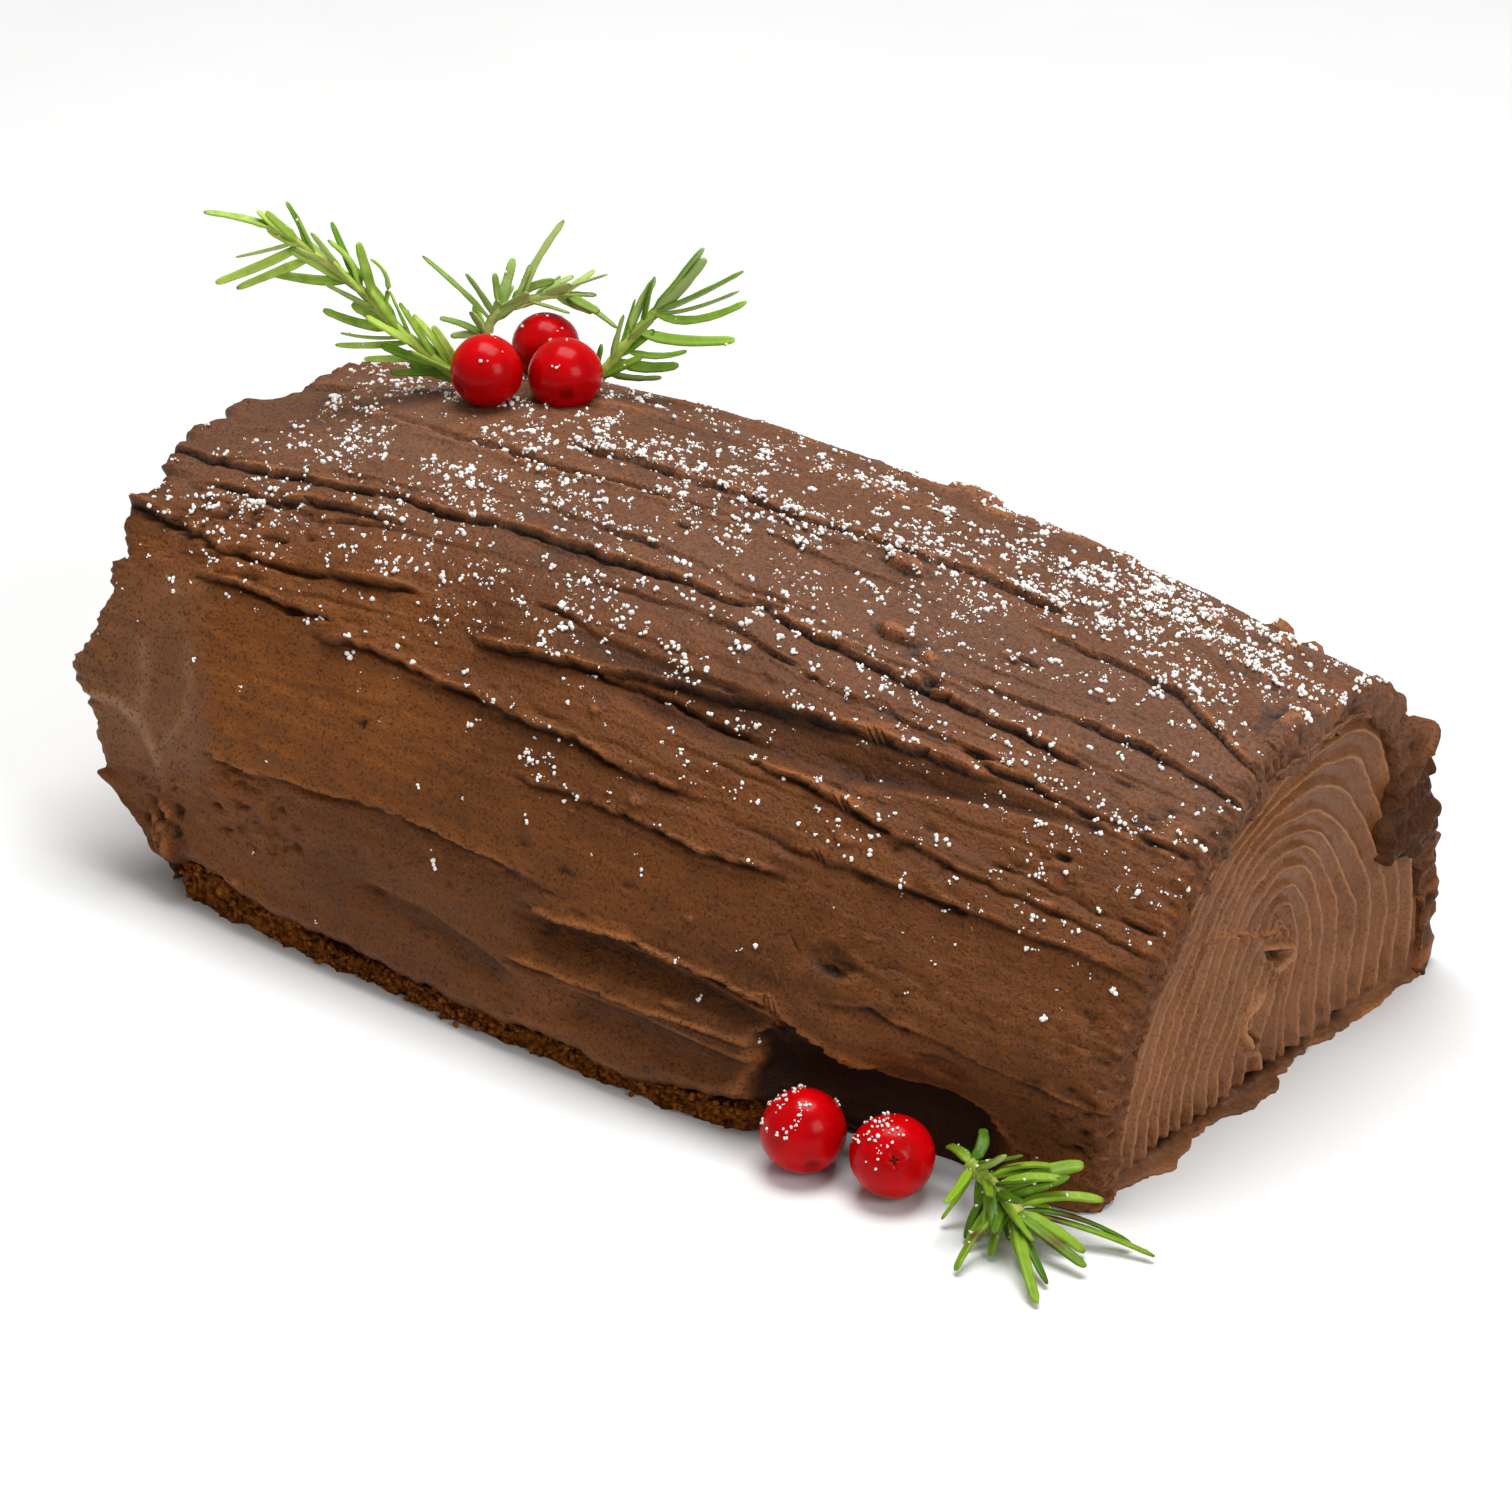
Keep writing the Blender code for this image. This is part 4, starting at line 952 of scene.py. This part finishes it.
class Sprig:
    """Points, faces and looks of one sprig of rosemary."""

    def __init__(self, seed, roll):
        self.roll = roll
        self.rng = np.random.default_rng(seed)
        self.points, self.faces, self.looks, self.spots = [], [], [], []
        self.count = 0

    def add(self, rings, looks):
        """A closed tube from rings of points, each with the same looks array shape."""
        rings = np.asarray(rings)
        stations, around = rings.shape[:2]
        index = np.arange(stations * around).reshape(stations, around) + self.count
        self.faces += grid_faces(np.hstack([index, index[:, :1]]))
        self.faces.append(index[0][::-1].tolist())
        self.faces.append(index[-1].tolist())
        self.points.append(rings.reshape(-1, 3))
        self.looks.append(looks.reshape(-1, 4))
        self.count += stations * around

    def stem(self, route, start_radius, end_radius, wood):
        along = unit(np.gradient(route, axis=0))
        side = unit(np.cross(along, (0.2, 0.1, 1.0)))
        other = np.cross(along, side)
        share = np.linspace(0, 1, len(route))[:, None]
        turn = np.linspace(0, 2 * math.pi, 10, endpoint=False)[None]
        radius = start_radius + (end_radius - start_radius) * share
        radius = radius * (1 + 0.1 * noise(self.rng, share * 40, turn, 2.0, 1.0) + 0.12 * (np.sin(share * 75) > 0.6))
        rings = (
            route[:, None]
            + (radius * np.cos(turn))[..., None] * side[:, None]
            + (radius * np.sin(turn))[..., None] * other[:, None]
        )
        woody = np.broadcast_to(np.interp(share, *zip(*wood)), radius.shape)
        looks = np.stack([woody, 0 * woody, 0 * woody, 2.7 + 0 * woody], -1)
        self.add(rings, looks)

    def leaf(self, root, bend, tip, width, brown_at=None):
        """A needle leaf: blunt, grooved on top, its edges rolled under round a pale underside."""
        rng = self.rng
        share = np.array([0, 0.06, 0.16, 0.28, 0.4, 0.52, 0.64, 0.75, 0.85, 0.92, 0.965, 0.99])[:, None]
        root, bend, tip = (np.asarray(p, float) for p in (root, bend, tip))
        sway = unit(np.cross(tip - root, (0, 0, 1.0))) * rng.uniform(-0.6, 0.6)
        bend = bend + sway
        centre = root * (1 - share) ** 2 + 2 * bend * share * (1 - share) + tip * share**2
        along = unit(np.gradient(centre, axis=0))
        side = unit(np.cross(along, (0.0, 0.0, 1.0)))
        roll = rng.uniform(-self.roll, self.roll)
        upward = np.cross(side, along)
        side, upward = side * math.cos(roll) + upward * math.sin(roll), upward * math.cos(roll) - side * math.sin(roll)
        wide = (0.45 + 0.55 * smooth_step(share, 0.0, 0.3)) * (1 - 0.32 * share**2)
        wide = wide * np.sqrt(np.clip(1 - ((share - 0.9) / 0.1) ** 2 * (share > 0.9), 0.05, 1))
        wide = 0.5 * LEAF_WIDTH * width * wide * (1 + 0.05 * rng.normal(0, 1, share.shape))
        across = np.array([-1, -0.86, -0.4, 0, 0.4, 0.86, 1, 0.66, 0, -0.66])
        height = np.array([-0.05, 0.3, 0.44, 0.2, 0.44, 0.3, -0.05, -0.32, -0.22, -0.32])
        rings = (
            centre[:, None]
            + (wide * across)[..., None] * side[:, None]
            + (wide * height)[..., None] * upward[:, None]
        )
        rings[..., 2] = np.maximum(rings[..., 2], 0.1)
        tone = rng.uniform(-1, 1)
        brown = np.zeros((len(share), 1))
        if brown_at is not None:
            brown = bump(share, brown_at, 0.09)
        tipped = rng.random() < 0.35
        brown = np.maximum(brown, 0.8 * smooth_step(share, 0.95, 0.99) * tipped)
        under = np.broadcast_to((height < -0.1) * 1.0, wide.shape[:1] + height.shape)
        looks = np.stack([
            np.clip(1 - share / 0.07, 0, 1) + 0 * under,
            brown + 0 * under,
            under,
            0 * under + 2 + tone,
        ], -1)
        self.add(rings, looks)
        for _ in range(3):
            k = rng.integers(1, len(share) - 2)
            self.spots.append((rings[k, rng.integers(1, 6)], upward[k]))

    def finish(self, name, material):
        looks = np.vstack(self.looks)
        labels = ("wood", "brown", "under", "tone")
        attributes = [(label, looks[:, k]) for k, label in enumerate(labels)]
        sprig = make_mesh(name, np.vstack(self.points), self.faces, material, attributes)
        face_outward(sprig)
        return sprig


def grow_sprig(name, material, seed, roll, stops, radii, wood, leaves, fillers):
    """A sprig along the stops. A leaf is (bend, tip, width), and grows from the stem nearest its bend;
    fillers are (from share, to share, how many, length, spread) round the stem."""
    sprig = Sprig(seed, roll)
    rng = sprig.rng
    route = smooth_route(stops, 44)
    sprig.stem(route, radii[0], radii[1], wood)
    along = unit(np.gradient(route, axis=0))
    for leaf in leaves:
        bend, tip, width = leaf[:3]
        at = np.linalg.norm(route - np.array(bend), axis=1).argmin()
        at = max(at - 3, 0)
        sprig.leaf(route[at], bend, tip, width, *leaf[3:])
    turn = rng.uniform(0, 6)
    for start, stop, count, length, spread in fillers:
        for k in range(count):
            share = start + (stop - start) * (k + rng.uniform(0, 0.6)) / count
            at = min(int(share * len(route)), len(route) - 1)
            side = unit(np.cross(along[at], (0.1, 0.2, 1.0)))
            other = np.cross(along[at], side)
            turn += 2.4
            radial = side * math.cos(turn) + other * math.sin(turn)
            open_angle = spread * rng.uniform(0.75, 1.3)
            way = along[at] * math.cos(open_angle) + radial * math.sin(open_angle)
            way = way + np.array((0, 0, 0.1))
            reach = length * rng.uniform(0.75, 1.15)
            bend = route[at] + reach * 0.45 * (0.75 * way + 0.25 * along[at] + 0.12 * radial)
            tip = route[at] + reach * way
            sprig.leaf(route[at], bend, tip, rng.uniform(1.5, 2.2))
    return sprig.finish(name, material), sprig.spots


LEAF_WIDTH = 1.12
LEFT_STEM = (
    (-76, 3, 85), (-80.5, -0.5, 88), (-86, -5, 94), (-91, -8, 99.5), (-95, -11, 105), (-100, -15, 110),
    (-104, -18, 114), (-107.5, -20.5, 115.8),
)
LEFT_LEAVES = (
    ((-110, -22.5, 117.4), (-117.5, -27, 118), 1.8),
    ((-106, -19, 115), (-109.5, -21, 118.6), 1.6),
    ((-102.5, -16, 115.5), (-105, -18, 120.6), 1.2),
    ((-106, -19, 111.5), (-112.5, -24, 109.4), 1.5),
    ((-107, -20, 108.5), (-116, -26, 104), 1.8),
    ((-106, -19, 107), (-112.5, -24, 103.2), 1.6),
    ((-100, -15, 105), (-108, -20, 106.5), 1.8),
    ((-94.5, -10, 109), (-98.5, -14, 113.4), 2.3),
    ((-88, -6, 107), (-92.5, -9, 109.8), 1.6),
    ((-89.5, -7, 101), (-95, -10, 107.5), 2.3),
    ((-93, -10, 96), (-100, -14, 99.3), 2.0),
    ((-92, -9, 93.5), (-97.5, -12, 94.6), 1.7),
    ((-92, -9, 92), (-98, -13, 92.4), 1.2),
    ((-88, -6, 90), (-93.5, -10, 89.8), 1.6),
    ((-84.5, -3.5, 87.4), (-89.5, -7, 87.2), 1.5),
    ((-81.5, -1, 92), (-86, -4.5, 99), 2.0),
    ((-80, 0.5, 91), (-83, -2.5, 97), 1.8),
)
MIDDLE_STEM = ((-78, 11, 85), (-81, 11.5, 91), (-80, 12.5, 95.5), (-76.5, 15, 98), (-72, 17.8, 99.6), (-68, 20, 100))
MIDDLE_LEAVES = (
    ((-84, 9, 99.5), (-91, 4, 107), 1.5),
    ((-81.5, 11, 99), (-84.5, 9, 103.6), 1.7),
    ((-84.5, 9, 93.5), (-88.5, 6, 94.4), 1.8),
    ((-75.5, 15.5, 104), (-69.5, 20, 114.8), 2.2),
    ((-77, 14.5, 101), (-71, 19, 102.6), 1.8),
    ((-70.5, 18.5, 101), (-62.5, 24.5, 104.4), 1.5),
    ((-72, 18, 101.5), (-68, 21, 103.6), 2.0),
    ((-69, 20, 100.4), (-64, 23, 100.2), 2.1),
    ((-66.5, 21.5, 99.5), (-61, 25.5, 93.5), 1.8),
    ((-82.5, 10.5, 92), (-87.5, 8, 90.4), 1.7),
    ((-79, 13, 97), (-80, 12, 104), 1.8),
)
RIGHT_STEM = ((-60, 15.5, 84), (-57.5, 17.5, 88.5), (-55, 19.5, 93), (-52, 21.8, 98), (-50, 23.3, 101))
RIGHT_LEAVES = (
    ((-48.5, 24.2, 103), (-43.2, 28.6, 113.4), 2.6),
    ((-47, 25, 103.4), (-42.6, 28.4, 111.5), 2.8),
    ((-46, 26, 102), (-37, 33, 109), 2.5),
    ((-46, 26, 99.5), (-37.6, 32.6, 105), 1.4),
    ((-45, 27, 96.5), (-36.4, 33.4, 103), 1.7),
    ((-48, 24.5, 94), (-38, 32.2, 95.2), 2.2),
    ((-50, 23, 90.5), (-45.5, 27, 92.6), 1.8),
    ((-52, 21.5, 88.5), (-46.5, 26, 89.8), 2.1),
    ((-54, 20, 86.6), (-49, 24, 87.2), 2.3),
    ((-54.5, 20.5, 98), (-50.5, 23.4, 107), 2.0),
)
FOOT_STEM = ((87, -64.5, 9.5), (91, -65.5, 8.6), (95, -66.6, 7.2), (99.2, -67.6, 5.8))
FOOT_LEAVES = (
    ((104, -75, 4.5), (113, -82, 1.0), 2.2),
    ((103, -72, 4.5), (111, -76, 1.0), 2.1),
    ((105, -68, 4.6), (114, -69, 2.0), 2.4, 0.6),
    ((101, -71.5, 4.0), (106.5, -75, 1.0), 2.0),
    ((95.5, -76, 5.0), (97, -82.3, 1.0), 2.2, 0.55),
    ((97, -71, 4.0), (99, -75, 1.0), 2.0),
    ((93.5, -71, 4.0), (94, -75, 1.0), 1.9),
    ((91, -70, 4.5), (92.5, -73, 0.9), 1.8),
    ((104, -66, 5.5), (110.5, -64, 1.0), 2.2),
    ((101, -65.5, 5.5), (106.5, -63.5, 1.0), 2.1),
    ((101, -61.5, 9.0), (110, -58, 8.0), 2.3),
    ((98, -60, 11.0), (104, -55.5, 11.5), 2.8),
    ((94, -62, 11.5), (100.5, -60, 12.0), 2.4),
    ((96.5, -63, 11.0), (103.5, -61, 11.0), 2.2),
    ((88, -68, 5.0), (86.5, -71.5, 1.6), 1.4),
    ((89, -62, 12.0), (85, -58, 12.5), 2.2),
    ((85, -62.5, 10.5), (80, -61, 8.6), 2.1),
    ((104, -60, 6.0), (115.5, -57.5, 1.6), 1.9, 0.5),
    ((108, -60, 3.6), (120.5, -58, 1.2), 1.7, 0.3),
    ((97, -69.5, 9.0), (105.5, -72, 4.8), 2.2),
    ((93, -68.5, 9.8), (100, -74.5, 5.2), 2.1),
)


class Look:
    """A material under construction, and short ways to add nodes to it."""

    def __init__(self, name, roughness, specular=0.5):
        self.material = bpy.data.materials.new(name)
        self.material.use_nodes = True
        self.tree = self.material.node_tree
        self.shader = next(n for n in self.tree.nodes if n.type == "BSDF_PRINCIPLED")
        self.shader.inputs["Roughness"].default_value = roughness
        self.shader.inputs["Specular IOR Level"].default_value = specular
        self.place = self.tree.nodes.new("ShaderNodeTexCoord").outputs["Object"]

    def put(self, socket, value):
        if isinstance(value, bpy.types.NodeSocket):
            self.tree.links.new(value, socket)
        else:
            socket.default_value = value

    def attribute(self, name):
        made = self.tree.nodes.new("ShaderNodeAttribute")
        made.attribute_name = name
        return made.outputs["Fac"]

    def noise(self, size, detail=2.0, stretch=(1, 1, 1), roughness=0.55):
        """Noise whose features are about size millimetres, stretched along the axes."""
        mapping = self.tree.nodes.new("ShaderNodeMapping")
        self.put(mapping.inputs["Vector"], self.place)
        mapping.inputs["Scale"].default_value = [1 / (size * MM * amount) for amount in stretch]
        made = self.tree.nodes.new("ShaderNodeTexNoise")
        self.put(made.inputs["Vector"], mapping.outputs["Vector"])
        made.inputs["Scale"].default_value = 1.0
        made.inputs["Detail"].default_value = detail
        made.inputs["Roughness"].default_value = roughness
        return made.outputs["Fac"]

    def cells(self, size):
        mapping = self.tree.nodes.new("ShaderNodeMapping")
        self.put(mapping.inputs["Vector"], self.place)
        mapping.inputs["Scale"].default_value = [1 / (size * MM)] * 3
        made = self.tree.nodes.new("ShaderNodeTexVoronoi")
        self.put(made.inputs["Vector"], mapping.outputs["Vector"])
        made.inputs["Scale"].default_value = 1.0
        return made.outputs["Distance"]

    def spread(self, value, low, high, to_low=0.0, to_high=1.0):
        """value taken from low..high to to_low..to_high, held at the ends."""
        made = self.tree.nodes.new("ShaderNodeMapRange")
        for socket, amount in zip(made.inputs, (value, low, high, to_low, to_high)):
            self.put(socket, amount)
        return made.outputs["Result"]

    def maths(self, operation, *values):
        made = self.tree.nodes.new("ShaderNodeMath")
        made.operation = operation
        for socket, value in zip(made.inputs, values):
            self.put(socket, value)
        return made.outputs["Value"]

    def ramp(self, value, *stops):
        made = self.tree.nodes.new("ShaderNodeValToRGB")
        self.put(made.inputs["Fac"], value)
        elements = made.color_ramp.elements
        while len(elements) < len(stops):
            elements.new(0.5)
        for element, (position, colour) in zip(elements, stops):
            element.position = position
            element.color = (*colour, 1.0)
        return made.outputs["Color"]

    def mix(self, share, a, b, blend="MIX"):
        made = self.tree.nodes.new("ShaderNodeMix")
        made.data_type = "RGBA"
        made.blend_type = blend
        for socket, value in ((made.inputs[0], share), (made.inputs[6], a), (made.inputs[7], b)):
            if isinstance(value, tuple):
                value = (*value, 1.0)
            self.put(socket, value)
        return made.outputs[2]

    def shade(self, base, share):
        """base with each of its channels multiplied by share."""
        grey = self.tree.nodes.new("ShaderNodeCombineXYZ")
        for axis in "XYZ":
            self.put(grey.inputs[axis], share)
        return self.mix(1.0, base, grey.outputs["Vector"], "MULTIPLY")

    def bumps(self, *layers):
        """Relief in the shading from layers of (height from 0 to 1, how many millimetres it stands for)."""
        normal = None
        for height, depth in layers:
            made = self.tree.nodes.new("ShaderNodeBump")
            made.inputs["Distance"].default_value = depth * MM
            self.put(made.inputs["Height"], height)
            if normal is not None:
                self.put(made.inputs["Normal"], normal)
            normal = made.outputs["Normal"]
        self.put(self.shader.inputs["Normal"], normal)

    def colour(self, value):
        if isinstance(value, tuple):
            value = (*value, 1.0)
        self.put(self.shader.inputs["Base Color"], value)


# Painted shade in crevices and hollows; also the dark specks.
BARK_DARK = (0.020, 0.0062, 0.0016)
BARK_COLOUR = (0.121, 0.0370, 0.0070)
# Painted light on the proud lips; also the pale flecks.
BARK_LIP = (0.25, 0.083, 0.021)
BARK_WARM = (0.26, 0.080, 0.013)
# Painted sheen of the glossy smear and its arcs.
SMEAR_SHEEN_COLOUR = (0.27, 0.132, 0.067)
# Icing sugar film mixed with painted sheen on the top.
DUST_AND_SHEEN_COLOUR = (0.80, 0.74, 0.70)
COMB_COLOUR = (0.225, 0.085, 0.028)
# Painted highlight on the flute crests.
COMB_LIT_CREST = (0.36, 0.165, 0.070)
# Painted shade in the flute valleys; also the dark specks.
COMB_DARK = (0.066, 0.020, 0.004)
# Painted glow of light through thin frosting edges.
LIT_EDGE_COLOUR = (0.34, 0.115, 0.022)


def bark_look():
    look = Look("bark frosting", 0.5, 0.16)
    # Painted shade and light: crevices go dark and proud lips go a lit orange with the relief's detail.
    relief = look.attribute("relief")
    height = look.spread(relief, -1.2, 1.2)
    base = look.ramp(height, (0.20, BARK_DARK), (0.44, BARK_COLOUR), (0.56, BARK_COLOUR), (0.8, BARK_LIP))
    patches = look.spread(look.noise(22, 3, (1.5, 1, 1)), 0.3, 0.7, 0.80, 1.22)
    mottle = look.spread(look.noise(2.6, 4, (1.8, 1, 1)), 0.3, 0.7, 0.84, 1.16)
    base = look.mix(look.attribute("warm"), base, BARK_WARM)
    # Painted sheen: the wiped smear and its curved ridges are paled as a glossy sheen.
    base = look.mix(look.attribute("smear"), base, SMEAR_SHEEN_COLOUR)
    base = look.shade(base, look.maths("MULTIPLY", patches, mottle))
    specks = look.spread(look.noise(0.62, 1.5), 0.54, 0.66)
    base = look.mix(look.maths("MULTIPLY", specks, 0.6), base, BARK_DARK)
    pale = look.spread(look.noise(0.9, 2), 0.60, 0.72)
    base = look.mix(look.maths("MULTIPLY", pale, 0.3), base, BARK_LIP)
    # Painted shade from the dark attribute: the hollows, sunk facets and the near end's heap.
    base = look.mix(look.attribute("dark"), base, BARK_DARK)
    # The upper side is paled towards white: partly a film of icing sugar, partly painted sheen.
    film_and_sheen = look.spread(look.noise(0.7, 2), 0.35, 0.7, 0.008, 0.052)
    base = look.mix(look.maths("MULTIPLY", look.attribute("dust_and_sheen"), film_and_sheen), base, DUST_AND_SHEEN_COLOUR)
    look.colour(base)
    rough = look.spread(look.attribute("smear"), 0, 0.6, 0.52, 0.34)
    look.put(look.shader.inputs["Roughness"], look.maths("ADD", rough, look.spread(mottle, 0.8, 1.2, -0.05, 0.05)))
    dull = look.spread(look.attribute("smear"), 0, 0.35, 1.0, 0.3)
    look.bumps(
        (look.noise(9, 2, (3, 1, 1)), 0.5),
        (look.maths("MULTIPLY", look.noise(2.2, 3, (2.2, 1, 1)), dull), 0.4),
        (look.maths("MULTIPLY", look.noise(0.6, 3), dull), 0.30),
    )
    return look.material


def comb_look():
    look = Look("combed frosting", 0.46, 0.3)
    # Painted highlight on the crests and painted shade in the valleys.
    crest = look.spread(look.attribute("relief"), -0.6, 1.2)
    base = look.ramp(crest, (0.10, COMB_DARK), (0.42, COMB_COLOUR), (0.62, COMB_COLOUR), (0.85, COMB_LIT_CREST))
    base = look.shade(base, look.spread(look.noise(16, 3), 0.3, 0.7, 0.82, 1.16))
    # Painted glow of light through the thin orange edges.
    ragged = look.spread(look.noise(1.4, 3), 0.3, 0.55)
    base = look.mix(look.maths("MULTIPLY", look.attribute("edge"), ragged), base, LIT_EDGE_COLOUR)
    specks = look.spread(look.noise(0.6, 1.5), 0.56, 0.68)
    base = look.mix(look.maths("MULTIPLY", specks, 0.5), base, COMB_DARK)
    # Painted shade under the foot and in the seam slots, and the darker flap.
    base = look.mix(look.attribute("dark"), base, BARK_DARK)
    look.colour(base)
    look.bumps((look.noise(1.8, 3), 0.35), (look.noise(0.5, 2), 0.16))
    return look.material


def sponge_look():
    look = Look("chocolate sponge", 0.85, 0.1)
    dark, middle, light = (0.036, 0.010, 0.0012), (0.205, 0.056, 0.005), (0.43, 0.145, 0.016)
    look.colour(look.ramp(look.noise(1.3, 4), (0.3, dark), (0.52, middle), (0.72, light)))
    look.bumps((look.cells(1.5), 0.6), (look.noise(0.7, 4), 0.5))
    return look.material


def cranberry_look():
    look = Look("cranberry", 0.20, 0.10)
    base = look.ramp(look.noise(5, 3), (0.3, (0.36, 0.0003, 0.0012)), (0.7, (0.54, 0.0005, 0.0024)))
    base = look.mix(look.attribute("blossom"), base, (0.025, 0.003, 0.001))
    look.colour(base)
    look.bumps((look.noise(2.5, 2), 0.06), (look.noise(0.4, 1), 0.006))
    return look.material


LEAF_DEEP = (0.13, 0.27, 0.016)
LEAF_BRIGHT = (0.46, 0.62, 0.10)
LEAF_UNDER = (0.46, 0.56, 0.22)
LEAF_BROWN = (0.10, 0.040, 0.010)
WOOD = (0.55, 0.50, 0.14)


def rosemary_look(name, deep, bright):
    look = Look(name, 0.40, 0.22)
    tone = look.spread(look.attribute("tone"), 1, 3)
    fine = look.spread(look.noise(2.5, 3), 0.3, 0.7, -0.2, 0.2)
    base = look.ramp(look.maths("ADD", tone, fine), (0.1, deep), (0.9, bright))
    base = look.mix(look.maths("MULTIPLY", look.attribute("under"), 0.75), base, LEAF_UNDER)
    base = look.mix(look.maths("MULTIPLY", look.attribute("wood"), 0.8), base, WOOD)
    base = look.mix(look.attribute("brown"), base, LEAF_BROWN)
    look.colour(base)
    look.shader.inputs["Subsurface Weight"].default_value = 0.15
    look.shader.inputs["Subsurface Radius"].default_value = (0.6 * MM, 1.0 * MM, 0.2 * MM)
    look.shader.inputs["Subsurface Scale"].default_value = 1.0
    look.bumps((look.noise(0.6, 2), 0.08),)
    return look.material


def sugar_look():
    look = Look("icing sugar", 0.6, 0.4)
    look.colour(look.ramp(look.noise(0.5, 1), (0.3, (0.80, 0.77, 0.72)), (0.7, (0.92, 0.90, 0.87))))
    look.bumps((look.noise(0.2, 1), 0.05),)
    return look.material


def floor_look():
    look = Look("pale floor", 0.7, 0.2)
    look.colour(look.ramp(look.noise(60, 2), (0.3, (0.74, 0.74, 0.735)), (0.7, (0.76, 0.76, 0.755))))
    return look.material


def dress(piece, node):
    """piece rides on the body, and stands for the CAD node, if there is one, which is hidden."""
    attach(piece, "root")
    if node:
        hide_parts(node)


def build_cake():
    frosting = bark_look()
    combed = comb_look()
    crumb = sponge_look()
    red = cranberry_look()
    bark, points, detail, v = make_bark(frosting)
    dress(bark, "bark_frosting")
    dress(make_comb("near_comb", False, combed), "near_end_frosting")
    dress(make_comb("far_comb", True, combed), "far_end_frosting")
    sponge, front_ledge, back_ledge = make_sponge(crumb)
    dress(sponge, "sponge_log")
    dress(make_crumbs(crumb, (front_ledge, back_ledge)), None)

    rng = np.random.default_rng(44)
    spots = []
    for seed, (name, way, grains, lean) in enumerate(BERRIES):
        berry, centre, radius = make_berry("cranberry_" + name, name, way, red, seed)
        dress(berry, name)
        spots += berry_spots(rng, centre, radius, grains, lean)
    for seed, (name, roll, stops, radii, wood, leaves, fillers, looks, grains) in enumerate(SPRIGS):
        material = rosemary_look("rosemary " + name, *looks)
        sprig, places = grow_sprig("sprig_" + name, material, 60 + seed, roll, stops, radii, wood, leaves, fillers)
        dress(sprig, "rosemary_" + name)
        chosen = rng.permutation(len(places))[:grains]
        spots += [places[k] for k in chosen]
    dress(make_sugar(sugar_look(), points, detail, v, spots), None)


BERRIES = (
    ("top_berry_left", (0.2, 0.9, 0.3), 9, (0.0, -0.3, 1.0)),
    ("top_berry_right", (-0.5, 0.6, 0.2), 9, (0.0, -0.3, 1.0)),
    ("top_berry_back", (0.3, 0.8, 0.4), 14, (0.1, -0.4, 0.9)),
    ("foot_berry_left", (-0.6, 0.5, 0.4), 74, (-0.35, -0.65, 0.75)),
    ("foot_berry_right", (0.55, -0.72, 0.42), 64, (-0.3, -0.6, 0.75)),
)
SPRIGS = (
    ("left", 1.2, LEFT_STEM, (1.15, 0.55), ((0, 0.1), (0.35, 0.3), (0.55, 1.0), (0.75, 0.9), (1, 0.2)), LEFT_LEAVES,
     ((0.05, 0.62, 18, 12, 0.40), (0.6, 0.85, 5, 8, 0.35)), (LEAF_DEEP, LEAF_BRIGHT), 12),
    ("middle", 1.2, MIDDLE_STEM, (1.0, 0.6), ((0, 0.3), (1, 0.3)), MIDDLE_LEAVES,
     ((0.1, 1.0, 14, 9, 0.6),), ((0.22, 0.34, 0.06), (0.50, 0.62, 0.20)), 14),
    ("right", 1.1, RIGHT_STEM, (1.1, 0.7), ((0, 0.4), (0.6, 0.5), (1, 0.2)), RIGHT_LEAVES,
     ((0.05, 0.8, 9, 10, 0.5),), (LEAF_DEEP, (0.33, 0.56, 0.06)), 6),
    ("foot", 0.6, FOOT_STEM, (1.2, 1.45), ((0, 0.2), (0.8, 0.6), (1, 1.0)), FOOT_LEAVES,
     ((0.0, 0.75, 15, 11, 0.85),), ((0.058, 0.135, 0.006), (0.21, 0.34, 0.016)), 60),
)


def make_floor():
    bm = bmesh.new()
    bmesh.ops.create_grid(bm, x_segments=8, y_segments=8, size=4.0)
    mesh = bpy.data.meshes.new("floor")
    bm.to_mesh(mesh)
    bm.free()
    floor = bpy.data.objects.new("floor", mesh)
    mesh.materials.append(floor_look())
    bpy.context.scene.collection.objects.link(floor)


def add_light(name, place, aim, size, energy, colour=(1, 1, 1)):
    data = bpy.data.lights.new(name, "AREA")
    data.shape = "RECTANGLE"
    data.size, data.size_y = size
    data.energy = energy
    data.color = colour
    light = bpy.data.objects.new(name, data)
    light.location = place
    light.rotation_euler = (Vector(aim) - Vector(place)).to_track_quat("-Z", "Y").to_euler()
    bpy.context.scene.collection.objects.link(light)


def light_stage():
    world = bpy.data.worlds.new("soft room")
    bpy.context.scene.world = world
    world.use_nodes = True
    background = next(n for n in world.node_tree.nodes if n.type == "BACKGROUND")
    background.inputs["Color"].default_value = (1.0, 1.0, 1.0, 1.0)
    background.inputs["Strength"].default_value = 0.33
    add_light("overhead", (-0.05, 0.15, 1.3), (0, 0, 0.05), (0.9, 0.7), 20)
    add_light("near side", (1.2, -0.3, 0.75), (0, 0, 0.05), (0.6, 0.6), 8)
    bpy.context.scene.view_settings.view_transform = "Standard"


def place_camera():
    data = bpy.data.cameras.new("camera")
    data.lens = CAMERA_LENS
    data.sensor_width = 36.0
    camera = bpy.data.objects.new("camera", data)
    forward = Vector(CAMERA_LOOKS_AT) - Vector(CAMERA_AT)
    turned = forward.to_track_quat("-Z", "Y").to_matrix().to_4x4() @ Matrix.Rotation(CAMERA_ROLL, 4, "Z")
    camera.matrix_world = Matrix.Translation(CAMERA_AT) @ turned
    bpy.context.scene.collection.objects.link(camera)
    bpy.context.scene.camera = camera


build_cake()
make_floor()
light_stage()
place_camera()
